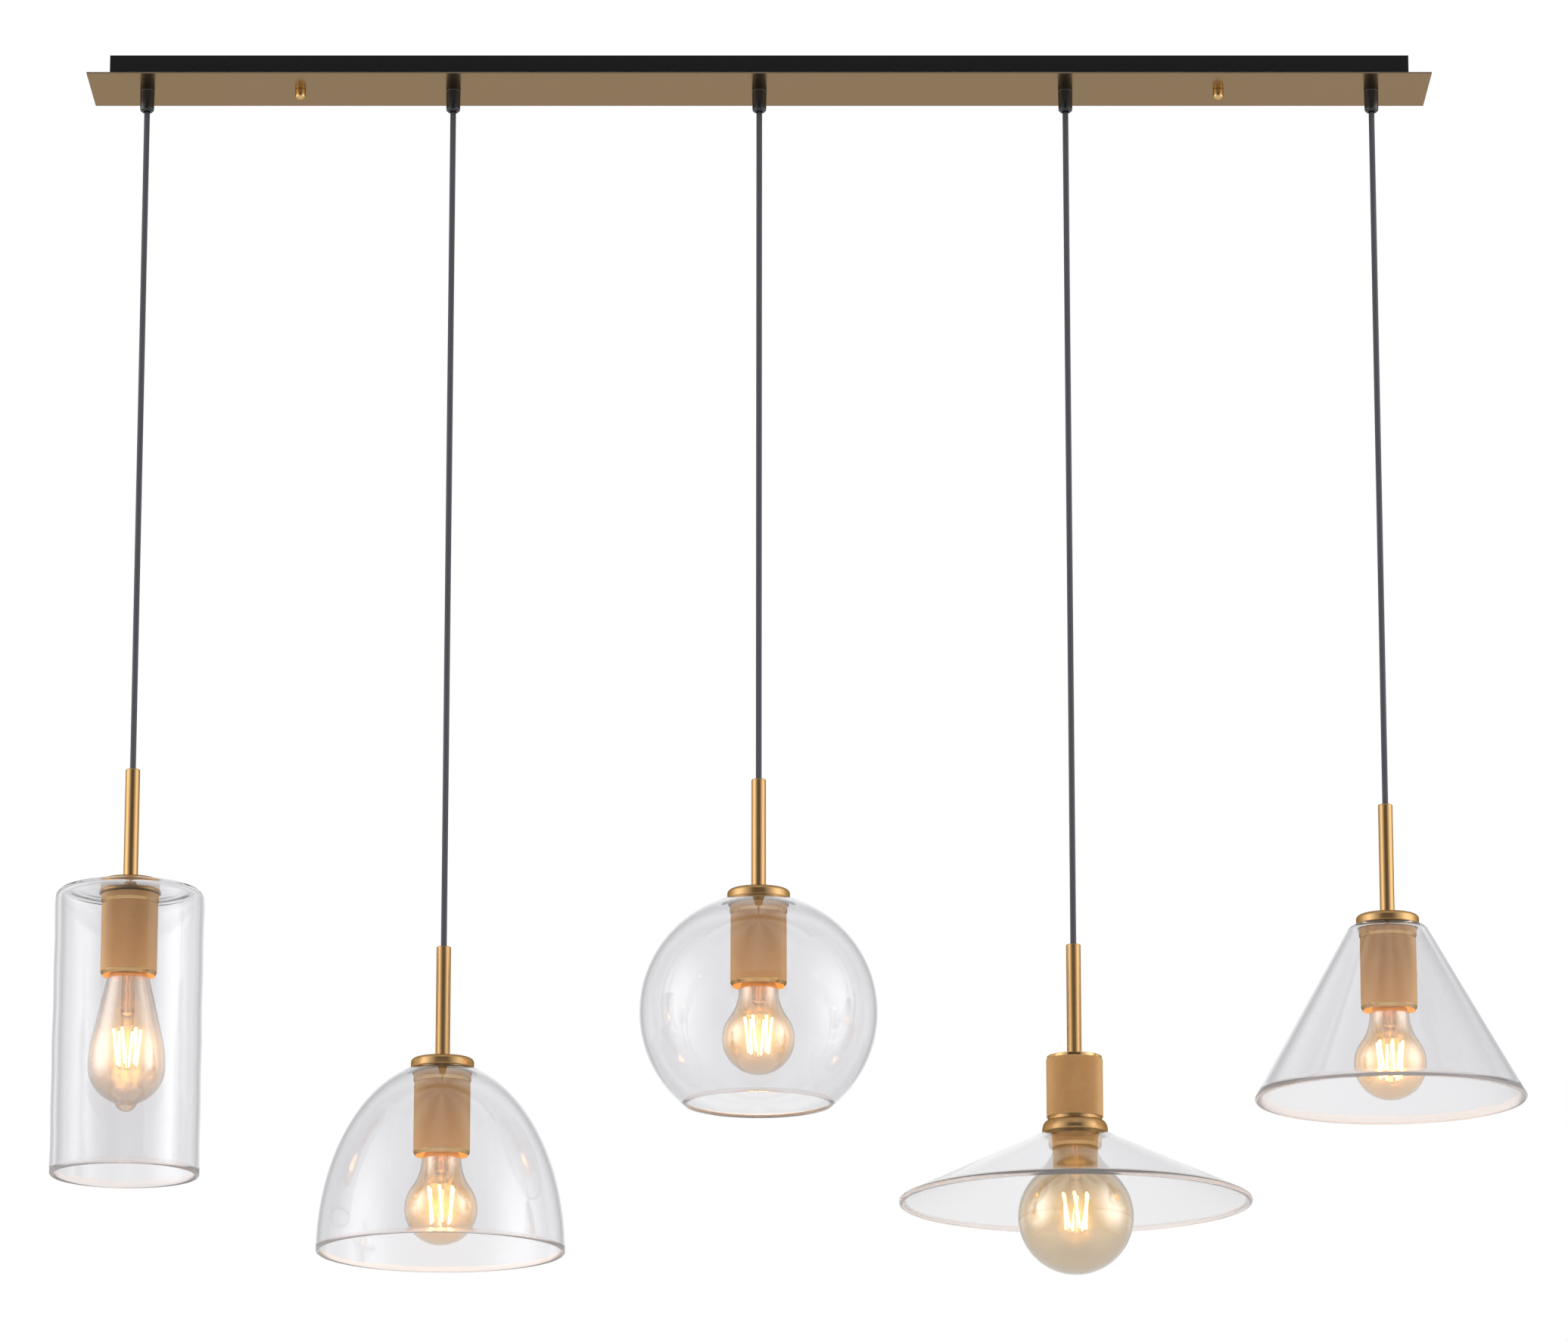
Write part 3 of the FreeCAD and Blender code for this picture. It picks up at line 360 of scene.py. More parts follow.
class Paint:
    """A tree of nodes: a material's, a light's or the world's."""

    def __init__(self, owner):
        owner.use_nodes = True
        self.owner, self.tree = owner, owner.node_tree

    def feed(self, socket, value):
        if isinstance(value, Wire):
            self.tree.links.new(value.socket, socket)
        elif isinstance(value, tuple) and socket.type == "RGBA":
            socket.default_value = (*value, 1)
        else:
            socket.default_value = value

    def node(self, kind, settings=None, sockets=None, output=0):
        made = self.tree.nodes.new(kind)
        for name, value in (settings or {}).items():
            setattr(made, name, value)
        for name, value in (sockets or {}).items():
            self.feed(made.inputs[name], value)
        return Wire(self, made.outputs[output])

    def mix(self, mask, low, high):
        return self.node("ShaderNodeMix", {"data_type": "RGBA"}, {0: mask, 6: low, 7: high}, 2)

    def place(self, scale=(1, 1, 1)):
        where = self.node("ShaderNodeTexCoord", output=3)
        return self.node("ShaderNodeMapping", {}, {"Vector": where, "Scale": scale})

    def height(self):
        where = self.node("ShaderNodeTexCoord", output=3)
        return self.node("ShaderNodeSeparateXYZ", {}, {"Vector": where}, 2)

    def noise(self, scale, size=1.0, detail=2.0):
        return self.node(
            "ShaderNodeTexNoise", {}, {"Vector": self.place(scale), "Scale": size, "Detail": detail}
        )

    def bump(self, height, depth, strength=1.0):
        sockets = {"Height": height, "Distance": depth, "Strength": strength}
        return self.node("ShaderNodeBump", {}, sockets)

    def facing(self, blend=0.5):
        """0 where the surface looks at the eye, 1 where it turns away."""
        return self.node("ShaderNodeLayerWeight", {}, {"Blend": blend}, 1)

    def surface(self, **sockets):
        shader = self.tree.nodes["Principled BSDF"]
        for name, value in sockets.items():
            self.feed(shader.inputs[name.replace("_", " ")], value)
        return self.owner


def paint(name):
    return Paint(bpy.data.materials.new(name))


print("paint: sums of nodes are ready")

# %% [markdown]
# ## Studio
#
# The photograph is a cut-out on white, lit by large soft screens on the left and the right. They
# show as pearl-white patches in the lamps, while the dark camera side shows as a dark band down
# the middle of each stem. Metal and glass have no look of their own: they show the room. So the
# room gets the same things: a white world with greyer strips between its bright ones, two soft
# screens at the sides, and a dark flag in front. The camera sees none of the last three. The
# screens show in reflections and through glass, the flag in reflections alone.

# %% World and floor
WHITE, BLACK = (1.0, 1.0, 1.0), (0.0, 0.0, 0.0)
STRIPS = 8
STRIP_GREY = (0.58, 0.58, 0.60)
ROOM_LIGHT = (0.5, 0.5, 0.51)
world = Paint(bpy.data.worlds.new("studio"))
bpy.context.scene.world = world.owner
bpy.context.scene.view_settings.view_transform = "Standard"
path = world.node("ShaderNodeLightPath").socket.node.outputs
straight = Wire(world, path["Is Camera Ray"])
bent = Wire(world, path["Is Glossy Ray"]) + Wire(world, path["Is Transmission Ray"])
way = world.node("ShaderNodeSeparateXYZ", {}, {"Vector": world.node("ShaderNodeTexCoord")})
across, ahead = (Wire(world, way.socket.node.outputs[k]) for k in (0, 1))
turn = across.reckon("ARCTAN2", across, ahead) * STRIPS
strip = world.node("ShaderNodeMath", {"operation": "COSINE"}, {0: turn}) * 0.5 + 0.5
room = world.mix(strip, STRIP_GREY, WHITE)
sky = world.mix(bent, ROOM_LIGHT, room)
sky = world.mix(straight, sky, WHITE)
world.feed(world.tree.nodes["Background"].inputs["Color"], sky)

floor_paint = paint("studio_floor")
seen = floor_paint.node("ShaderNodeLightPath")
mirrored = Wire(floor_paint, seen.socket.node.outputs["Is Glossy Ray"])
through = Wire(floor_paint, seen.socket.node.outputs["Is Transmission Ray"])
met = mirrored + through
pale = floor_paint.mix(met, (0.82, 0.82, 0.82), (0.58, 0.58, 0.58))
glow = floor_paint.mix(met, (0.25, 0.25, 0.25), (0.42, 0.42, 0.42))
floor_paint.surface(Base_Color=pale, Roughness=0.7, Emission_Color=glow)
floor_paint.surface(Emission_Strength=1.0)


def board(name, corners, material):
    mesh = bpy.data.meshes.new(name)
    mesh.from_pydata(corners, [], [tuple(range(len(corners)))])
    mesh.materials.append(material)
    made = bpy.data.objects.new(name, mesh)
    bpy.context.scene.collection.objects.link(made)
    return made


FLOOR = -2.6
WIDE = 30.0
corners = [(-WIDE, -WIDE, FLOOR), (WIDE, -WIDE, FLOOR), (WIDE, WIDE, FLOOR), (-WIDE, WIDE, FLOOR)]
board("floor", corners, floor_paint.owner)

# %% The dark flag in front of the light
flag_paint = paint("dark_flag")
flag_paint.surface(Base_Color=(0.012, 0.010, 0.010), Roughness=0.9, Specular_IOR_Level=0.0)
FLAG_Y, FLAG_HALF, FLAG_LOW, FLAG_TOP = -4.2, 2.2, -0.4, 1.5
corners = [(-FLAG_HALF, FLAG_Y, FLAG_LOW), (FLAG_HALF, FLAG_Y, FLAG_LOW)]
corners += [(FLAG_HALF, FLAG_Y, FLAG_TOP), (-FLAG_HALF, FLAG_Y, FLAG_TOP)]
flag = board("dark_flag", corners, flag_paint.owner)
hide_from(flag, "camera", "diffuse", "transmission", "volume_scatter", "shadow")

# %% Soft screens and lamps of the studio


def soft_box(name, place, aim, width, height, power):
    light = bpy.data.lights.new(name, "AREA")
    light.shape = "RECTANGLE"
    light.size, light.size_y = width, height
    light.energy = power
    made = bpy.data.objects.new(name, light)
    made.location = place
    made.rotation_euler = (Vector(aim) - Vector(place)).to_track_quat("-Z", "Y").to_euler()
    hide_from(made, "camera", "glossy", "transmission")
    bpy.context.scene.collection.objects.link(made)


SCREEN_SIDE, SCREEN_Y, HALF = 3.6, -0.7, 3.4
SCREEN_LEVEL, SCREEN_FADE, SCREEN_STRENGTH = 0.26, 0.32, 3.0
middle = Vector((0, 0, -0.75))
screen_paint = paint("soft_screen")
spot = screen_paint.node("ShaderNodeTexCoord", output=3)
far = screen_paint.node("ShaderNodeVectorMath", {"operation": "LENGTH"}, {0: spot}, 1)
fade = far.reckon("POWER", math.e, far * far * -SCREEN_FADE)
bright = screen_paint.mix(fade, (SCREEN_LEVEL, SCREEN_LEVEL, SCREEN_LEVEL), WHITE)
screen_paint.surface(Base_Color=BLACK, Emission_Color=bright, Emission_Strength=SCREEN_STRENGTH)
square = [(-HALF, -HALF, 0), (HALF, -HALF, 0), (HALF, HALF, 0), (-HALF, HALF, 0)]
for side in (-1, 1):
    soft_box(f"side_box_{side + 2}", (side * 3.2, -1.8, 0.3), middle, 1.6, 1.6, power=45)
    screen = board(f"soft_screen_{side + 2}", square, screen_paint.owner)
    screen.location = (side * SCREEN_SIDE, SCREEN_Y, 0.0)
    screen.rotation_euler = (middle - screen.location).to_track_quat("Z", "Y").to_euler()
    hide_from(screen, "camera", "diffuse", "volume_scatter", "shadow")
soft_box("front_box", (0, -5.0, 0.6), middle, 2.5, 1.5, power=50)
print("studio: floor at", FLOOR, "m, flag at", FLAG_Y, "m")

# %% [markdown]
# ## Metals
#
# Brass here has four finishes. The plate is brushed along its length and lacquered dark. Turned
# parts keep a fine lathe grain round their axis. Knurled parts are cut in diamonds, so their look
# comes from real facets. Bevels and cap nuts are polished. A sleeve also catches the light of its
# lamp, which is too small for reflections to find. So that light is painted on: the knurl near the
# lamp and the sleeve's mouth get a faint painted glow, which grows towards the lamp.

# %% Plate brass
plate = paint("plate_brass")
drift = plate.noise((2.2, 1.0, 1.0), 1.3, 2.0)
tone = plate.mix(drift, (0.415, 0.330, 0.206), (0.460, 0.342, 0.234))
brushing = plate.noise((14.0, 900.0, 300.0), 1.0, 2.0)
plate_brass = plate.surface(
    Base_Color=tone,
    Metallic=1.0,
    Roughness=0.15 + 0.08 * brushing,
    Specular_Tint=(0.563, 0.472, 0.395),
    Normal=plate.bump(brushing, 0.00002, 0.25),
)

# %% Turned and polished brass
turned = paint("turned_brass")
grain = turned.noise((40.0, 40.0, 2600.0), 1.0, 2.0)
cloud = turned.noise((30.0, 30.0, 22.0), 1.0, 2.0)
turned_brass = turned.surface(
    Base_Color=turned.mix(cloud, (0.43, 0.262, 0.112), (0.47, 0.288, 0.128)),
    Metallic=1.0,
    Roughness=0.27 + 0.05 * grain,
    Specular_Tint=(0.49, 0.38, 0.28),
    Normal=turned.bump(grain, 0.00001, 0.4),
)

polished = paint("polished_brass")
smear = polished.noise((90.0, 90.0, 60.0), 1.0, 2.0)
polished_brass = polished.surface(
    Base_Color=polished.mix(smear, (0.62, 0.395, 0.165), (0.68, 0.45, 0.205)),
    Metallic=1.0,
    Roughness=0.15 + 0.06 * smear,
    Specular_Tint=(0.5, 0.38, 0.24),
)

# %% Knurled brass


def knurled_metal(name, start, reach, colour, strength):
    """Knurled brass. Below the start height a painted glow of the lamp's light grows over the reach,
    both in metres.
    """
    knurl = paint(name)
    patina = knurl.noise((70.0, 70.0, 45.0), 1.0, 3.0)
    # painted lamplight: an emission glow that grows towards the lamp below the start height
    painted_light_mask = (start - knurl.height()) / reach
    return knurl.surface(
        Base_Color=knurl.mix(patina, (0.56, 0.328, 0.142), (0.64, 0.392, 0.185)),
        Metallic=1.0,
        Roughness=0.34 + 0.08 * patina,
        Specular_Tint=(0.64, 0.50, 0.37),
        Emission_Color=knurl.mix(painted_light_mask, BLACK, colour),
        Emission_Strength=strength,
    )


knurled_brass = knurled_metal("knurled_brass", -0.5, 0.1, BLACK, 0.0)
# the lamp's light painted as a warm glow on the knurl near the lamp and in the sleeve's mouth
lamplit_knurled_brass = knurled_metal("lamplit_knurled_brass", -0.034, 0.047, (1.0, 0.52, 0.20), 0.13)
lamplit_mouth_brass = knurled_metal("lamplit_mouth_brass", -0.056, 0.025, (1.0, 0.42, 0.08), 0.9)

# %% Steel and nickel


def plain_metal(name, low, high, rough, stretch):
    metal = paint(name)
    mark = metal.noise(stretch, 1.0, 3.0)
    return metal.surface(
        Base_Color=metal.mix(mark, low, high), Metallic=1.0, Roughness=rough + 0.12 * mark
    )


bracket_steel = plain_metal(
    "bracket_steel", (0.50, 0.51, 0.52), (0.66, 0.66, 0.64), 0.28, (60, 60, 60)
)
fastener_steel = plain_metal(
    "fastener_steel", (0.55, 0.55, 0.55), (0.68, 0.68, 0.66), 0.22, (300, 300, 90)
)
nickel = plain_metal(
    "lamp_cap_nickel", (0.60, 0.58, 0.54), (0.74, 0.72, 0.68), 0.16, (200, 200, 400)
)
print("metals: four finishes of brass, two of steel and nickel")

# %% [markdown]
# ## Paint, plastic and the cord's cover
#
# The box is powder coated: matt black with a very fine orange peel. Grips are moulded in gloss
# black. The cord has a smooth, tight woven cover, so its weave is fine diagonal ribs. Its sides
# are painted darker, as shade where the cord turns away from the eye.

# %% Paint and plastic


def moulded(name, low, high, rough, size, depth, shine=0.5):
    """Paint or plastic with flecks: two tones, roughness, how fine the flecks are and how deep."""
    stuff = paint(name)
    fleck = stuff.noise((1, 1, 1), size, 3.0)
    return stuff.surface(
        Specular_IOR_Level=shine,
        Base_Color=stuff.mix(fleck, low, high),
        Roughness=rough + 0.08 * fleck,
        Normal=stuff.bump(fleck, depth, 0.5),
    )


black_paint = moulded(
    "black_paint", (0.004, 0.004, 0.004), (0.007, 0.007, 0.007), 0.40, 1400, 0.00006, shine=0.15
)
black_gloss = moulded(
    "black_plastic", (0.008, 0.008, 0.009), (0.014, 0.014, 0.015), 0.12, 500, 0.00002
)
ceramic = moulded("lampholder_ceramic", (0.70, 0.68, 0.64), (0.78, 0.76, 0.72), 0.25, 300, 0.00004)
block_plastic = moulded("white_plastic", (0.66, 0.64, 0.60), (0.74, 0.72, 0.68), 0.38, 600, 0.00003)
lead_cover = moulded("lead_cover", (0.030, 0.028, 0.028), (0.050, 0.047, 0.046), 0.45, 800, 0.00003)

# %% Woven cover of the cord
cover = paint("cord_cover")
where = cover.node("ShaderNodeTexCoord", output=3)
ribs = cover.node(
    "ShaderNodeTexWave",
    {"wave_type": "BANDS", "bands_direction": "DIAGONAL"},
    {"Vector": where, "Scale": 700.0, "Distortion": 0.6, "Detail": 1.0},
    1,
)
# painted shade: the cover darkens towards the cord's sides, where it turns away from the eye
edge = cover.facing(0.5) ** 1.6
yarn = cover.mix(ribs, (0.034, 0.032, 0.042), (0.044, 0.042, 0.053))
cord_cover = cover.surface(
    Base_Color=cover.mix(edge, yarn, (0.008, 0.007, 0.009)),
    Roughness=0.5 + 0.06 * ribs,
    Normal=cover.bump(ribs, 0.00003, 0.3),
)
print("covers and paints are ready")

# %% [markdown]
# ## Glass
#
# The shades are clear soda glass. Each wall is a real solid with two faces, so light bends as it
# does in the real one, and the edges turn grey by themselves where the eye looks along the wall. A
# painted edge shade deepens this: the base colour darkens where the glass turns away from the eye.
# A wall also leads light along itself, which would make a clear rim black, so the melted rims get a
# paler, half frosted glass that paints that light in. The lamps' glass is thin and has an amber
# coat, whose strong, soft reflections show the screens as pearls. Its edges are painted too: darker
# on the pear lamp, paler on the others. The light of the lit sticks in their glass is painted as a
# faint glow, strongest at the height of the sticks.

# %% Shade glass and lamp glass
GLASS_IOR = 1.46


def clear_glass(name, tint, painted_edge_tone, power=5.0):
    glass = paint(name)
    # painted edge shade: the base colour turns to the edge tone where the glass turns away from the
    # eye
    rim = glass.facing(0.5) ** power
    return glass.surface(
        Base_Color=glass.mix(rim, tint, painted_edge_tone),
        Roughness=0.0,
        IOR=GLASS_IOR,
        Transmission_Weight=1.0,
    )


# the glass's own faint tint, then its painted edge shade
shade_glass = clear_glass("shade_glass", (0.875, 0.872, 0.885), (0.78, 0.76, 0.765))
# painted light: the melted rims get a pale, half frosted glass that stands in for the light the wall
# leads out of them
rim_paint = paint("lit_rim_glass")
rim_mottle = rim_paint.noise((1, 1, 1), 60)
lit_rim_glass = rim_paint.surface(
    Base_Color=rim_paint.mix(rim_mottle, (0.72, 0.68, 0.67), (0.78, 0.74, 0.73)),
    Roughness=0.15,
    IOR=GLASS_IOR,
    Transmission_Weight=0.8,
)
# the mount's tinted glass, then its painted edge shade
mount_glass = clear_glass("mount_glass", (0.97, 0.90, 0.72), (0.72, 0.56, 0.34), 2.0)


def amber_glass(name, glow_low, glow_high, tint, painted_edge_tone, strength):
    """Amber coated glass. A painted glow of the sticks' light lies where its height is between the
    two given, in metres.
    """
    glass = paint(name)
    away = glass.facing(0.5)
    # painted edge tone where the glass turns away from the eye: painted shade on the pear lamp, a
    # painted paler sheen on the others
    rim = away**3.0
    middle_height, reach = (glow_low + glow_high) / 2, (glow_high - glow_low) / 2
    level = (glass.height() - middle_height) / reach
    bell = level.reckon("POWER", math.e, level * level * -1.6)
    # painted light: the sticks' light in the glass, as a glow strongest at their height and where
    # the glass faces the eye
    painted_glow = bell * ((1 - away) ** 2.0)
    return glass.surface(
        Base_Color=glass.mix(rim, tint, painted_edge_tone),
        Roughness=0.0,
        IOR=GLASS_IOR,
        Transmission_Weight=1.0,
        Coat_Weight=1.0,
        Coat_Roughness=0.17,
        Coat_IOR=2.9,
        Emission_Color=glass.mix(painted_glow, BLACK, (1.0, 0.62, 0.16)),
        Emission_Strength=strength,
    )


# %% Lit sticks, and wires with painted glow


def glowing(name, colour, strength):
    glow_paint = paint(name)
    flicker = glow_paint.noise((1, 1, 1), 900, 2.0)
    return glow_paint.surface(
        Base_Color=(0.9, 0.7, 0.4),
        Roughness=0.5,
        Emission_Color=glow_paint.mix(flicker, colour, tuple(min(1.0, part * 1.15) for part in colour)),
        Emission_Strength=strength,
    )


stick_glow = glowing("stick_glow", (1.0, 0.66, 0.28), 16.0)
# the lead wires are no lamp: their glow is painted light of the sticks, caught in the crimp
lamplit_wire_glow = glowing("lamplit_wire_glow", (1.0, 0.36, 0.07), 1.1)
print("glass and glow are ready")

# %% [markdown]
# ## Canopy
#
# The box, the plate, the bracket and the plain nuts have their true shape in the CAD model
# already. They stay, get their finish, and a Bevel modifier breaks their edges, because a real
# edge is never quite sharp.

# %% Finishes of the canopy


def dress(node, material, edge=0.0, segments=2):
    """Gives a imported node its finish, and broken edges where the real one has them."""
    made = bpy.data.objects[node]
    made.data.materials.clear()
    made.data.materials.append(material)
    if edge:
        bevel = made.modifiers.new("edges", "BEVEL")
        bevel.width, bevel.segments = edge * MM, segments
        bevel.limit_method, bevel.angle_limit = "ANGLE", math.radians(40)


dress("canopy_plate", plate_brass, 0.25, 3)
dress("canopy_box", black_paint, 0.4, 3)
dress("ceiling_bracket", bracket_steel, 0.15)
dress("bracket_studs", fastener_steel, 0.1)
dress("stud_nuts", fastener_steel, 0.15)
dress("grip_nuts", black_gloss, 0.2)
dress("terminal_block", block_plastic, 0.4)
dress("inner_leads", lead_cover)
for number in PENDANTS:
    dress(f"lampholder_{number}", ceramic, 0.4)
print("dressed", 8 + len(PENDANTS), "packed nodes")

# %% [markdown]
# ## Cap nuts and cord grips
#
# A cap nut closes each stud: a short polished cylinder with a domed end. A cord grip is a moulded
# barrel with a softly rounded mouth, from which the cord comes. Both are turned forms.

# %% Cap nuts
PLATE_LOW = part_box("canopy_plate")[0].z
NUT_RADIUS = 4.4
nut_rows = [(2.15, 0.0), (4.1, 0.0), (NUT_RADIUS, -0.3), (NUT_RADIUS, -4.9), (4.32, -5.25)]
nut_rows += [(4.32 * math.cos(t), -5.25 - 3.75 * math.sin(t)) for t in np.linspace(0.1, 1.5, 10)]
nut_rows += [(0.0, -9.0), (0.0, -3.0), (2.15, -3.0)]
cap_nut_form = spin(nut_rows, 64)
nut_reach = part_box("cap_nuts")[1].x - NUT_RADIUS * MM
for side, place in (("left", -nut_reach), ("right", nut_reach)):
    nut = piece(f"cap_nut_{side}", cap_nut_form, [polished_brass], place, PLATE_LOW, 30)
    fit(nut, "canopy", "turned_brass")
    if side == "left":
        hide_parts("cap_nuts")
print("cap nuts at", round(-nut_reach, 3), round(nut_reach, 3))

# %% Cord grips
GRIP_HEIGHT = 20
MOUTH_DEPTH = 3.0
grip_corners = [(2.6, 4.5), (5.0, 4.5, 0.4), (5.0, 0.0), (6.3, 0.0, 0.3), (6.3, -1.6, 0.3)]
grip_corners += [(6.05, -2.0, 0.2), (6.2, -2.4, 0.2), (5.9, -GRIP_HEIGHT, 2.4)]
grip_corners += [(3.9, -GRIP_HEIGHT, 0.6), (3.5, -GRIP_HEIGHT + MOUTH_DEPTH)]
grip_corners += [(2.6, -GRIP_HEIGHT + MOUTH_DEPTH)]
grip_form = spin(even(soften(grip_corners, steps=6), 1.0), 72)
for number in PENDANTS:
    grip = piece(f"cord_grip_{number}", grip_form, [black_gloss], axis_of(number), PLATE_LOW, 40)
    fit(grip, "canopy", "black_plastic")
    if number == 1:
        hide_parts("cord_grips")
print("cord grips:", len(PENDANTS))

# %% [markdown]
# ## Cords
#
# Each cord hangs straight under the weight of its pendant, from the mouth of its grip through the
# stem to the lampholder. Its line is a NURBS curve, and the round cover is built on the points
# that Blender reads from it. Both ends are hidden and rounded, so that they stay clear of the
# leads and the lampholder.

# %% Cord routes
CORD_TOP = -0.0405
CORD_DIAMETER = 0.0049
CORD_IN_FITTING = 45.85
CORD_IN_TALL_FITTING = 37.85
CORD_LEFT_WHEN_RAISED = 0.3
CORD_STOPS = (0.0, 0.02, 0.25, 0.5, 0.75, 0.98, 1.0)
CORD_SIDES = 24
ROUNDED_TOP = [(0.0, -0.5), (0.9, -0.95), (1.6, -1.6), (2.15, -2.3)]
FIRST_RING, SECOND_RING = -3.2, -4.0


def route_points(name, points):
    """The points that a NURBS line passes, as Blender reads them."""
    curve = bpy.data.curves.new(name, "CURVE")
    curve.dimensions = "3D"
    line = curve.splines.new("NURBS")
    line.points.add(len(points) - 1)
    for point, place in zip(line.points, points):
        point.co = (*place, 1)
    line.order_u, line.use_endpoint_u, line.resolution_u = 3, True, 4
    holder = bpy.data.objects.new(name, curve)
    bpy.context.scene.collection.objects.link(holder)
    bpy.context.view_layer.update()
    read = bpy.data.meshes.new_from_object(holder)
    found = [tuple(vertex.co) for vertex in read.vertices]
    bpy.data.objects.remove(holder)
    return found


for number in PENDANTS:
    x = axis_of(number)
    inside = CORD_IN_TALL_FITTING if number == TALL else CORD_IN_FITTING
    end = foot_of(number) - inside * MM
    length = CORD_TOP - end
    places = [(x, 0, CORD_TOP - length * stop) for stop in CORD_STOPS]
    route = route_points(f"route_{number}", places)
    thick, low = CORD_DIAMETER / 2 / MM, -length / MM
    rings = [(place[2] - CORD_TOP) / MM for place in route[1:-1]]
    rows = ROUNDED_TOP + [(thick, FIRST_RING)]
    rows += [(thick, ring) for ring in rings if ring < SECOND_RING]
    rows += [(thick, low + 0.5), (thick - 0.25, low + 0.25), (0.0, low + 0.2)]
    cover_form = spin(rows, CORD_SIDES, closed=False)
    made = piece(f"hanging_cord_{number}", cover_form, [cord_cover], x, CORD_TOP)
    fit(made, f"hanging_cord_{number}", "cord_cover", f"cord_{number}")
    (length - CORD_LEFT_WHEN_RAISED) / length
    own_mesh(made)
    print("cord", number, round(length, 4), "m")

# %% [markdown]
# ## Stems and shade caps
#
# The stem is a turned tube with a slightly rounded end, screwed into the shade cap. The cap is a
# low disc with a rounded edge and a lip that rests on the glass. On the fourth pendant it is a
# bell-shaped flange between the sleeve and the glass.

# %% Stems
STEM_FOOT, TALL_STEM_FOOT = -45.55, -37.55
for number in PENDANTS:
    low = TALL_STEM_FOOT if number == TALL else STEM_FOOT
    corners = [(3.5, low), (5.0, low), (5.0, 0.0), (6.0, 0.0)]
    corners += [(6.0, STEM_LENGTH, 0.8), (3.5, STEM_LENGTH, 0.4)]
    form = spin(even(soften(corners, steps=5), 1.5), 72)
    stem = piece(f"brass_stem_{number}", form, [turned_brass], axis_of(number), foot_of(number))
    fit(stem, f"pendant_{number}", "turned_brass", f"stem_{number}")
print("stems:", len(PENDANTS))

# %% Shade caps
CAP_LOW, FLANGE_LOW = -8.0, -64.0
STEM_BORE = 5.05
cap_corners = [(STEM_BORE, 0.0), (STEM_BORE, -3.0), (18.3, -3.0), (18.3, -34.0), (19.5, -34.0)]
cap_corners += [(19.5, -3.0), (22.0, -3.0), (22.0, CAP_LOW, 0.2), (26.0, CAP_LOW, 0.5)]
cap_corners += [(26.0, 0.0, 3.4), (12.0, 0.05, 0.5)]
cap_form = spin(even(soften(cap_corners, steps=8), 1.0), 128)
flange_outline = [(18.3, -45.0), (18.3, -79.0), (19.5, -79.0)]
flange_outline += [(19.5, FLANGE_LOW), (26.0, FLANGE_LOW)]
flange_outline += arc(26.0, -63.0, 1.0, -90, 0, 6)
turns = np.linspace(0.05, 1.55, 14)
bell = [(27.0 - 4.6 * (1 - math.cos(t)), -62.2 + 8.2 * math.sin(t)) for t in turns]
flange_outline += bell + [(22.4, -53.4), (22.4, -51.2), (22.1, -51.0)]
flange_outline += [(21.45, -51.0), (21.45, -45.0)]
flange_form = spin(even(flange_outline, 1.0), 128)
for number in PENDANTS:
    form = flange_form if number == TALL else cap_form
    made = piece(f"brass_cap_{number}", form, [turned_brass], axis_of(number), foot_of(number), 30)
    fit(made, f"pendant_{number}", "turned_brass", f"shade_cap_{number}")
print("shade caps:", len(PENDANTS))

# %% [markdown]
# ## Knurled sleeves and ring nuts
#
# Knurling presses two crossing sets of grooves into the metal and leaves small pyramids. A bump
# map would give the sparkle but a smooth edge. Here it is real: rings of points, every other one
# lower, each ring shifted by one against the last, and each cell split along its groove.

# %% Sleeves and rings
KNURL_TURNS = 244
KNURL_STEP = 0.66
KNURL_DEPTH = 0.34
# MOUTH is the finish of the sleeve's mouth, which carries the painted glow of the lamp's light
KNURLED, POLISHED, TURNED, MOUTH = 0, 1, 2, 3
SLEEVE_RADIUS, SLEEVE_BORE, NECK_BORE = 23.3, 21.5, 19.55
MOUTH_TOP = -56.0


def knurled(radius, top, low):
    """Rows of a knurled band from its top down."""
    count = max(2, round((top - low) / KNURL_STEP))
    heights = np.linspace(top, low, count + 1)
    return [Row(radius, z, KNURLED, KNURL_DEPTH, k % 2) for k, z in enumerate(heights)]


def plain(points, finish=POLISHED):
    return [Row(r, z, finish) for r, z in points]


sleeve_rows = plain([(NECK_BORE, -20.5), (22.6, -20.5)]) + knurled(SLEEVE_RADIUS, -21.0, -77.6)
sleeve_rows += plain([(23.1, -77.8), (23.28, -78.0), (23.2, -78.4), (21.9, -80.85), (21.75, -81.0)])
sleeve_rows += plain([(21.6, -80.9), (SLEEVE_BORE, -80.6)], MOUTH)
sleeve_rows += plain([(SLEEVE_BORE, MOUTH_TOP), (SLEEVE_BORE, -23.5), (NECK_BORE, -23.5)], TURNED)
sleeve_form = spin(sleeve_rows, KNURL_TURNS)
tall_rows = plain([(STEM_BORE, 0.0), (22.2, 0.0), (22.55, -0.35), (22.55, -2.3), (22.9, -2.5)])
tall_rows += knurled(SLEEVE_RADIUS, -2.9, -50.6) + plain([(22.9, -51.0), (SLEEVE_BORE, -51.0)])
tall_rows += plain([(SLEEVE_BORE, -2.5), (STEM_BORE, -2.5)], TURNED)
tall_form = spin(tall_rows, KNURL_TURNS)


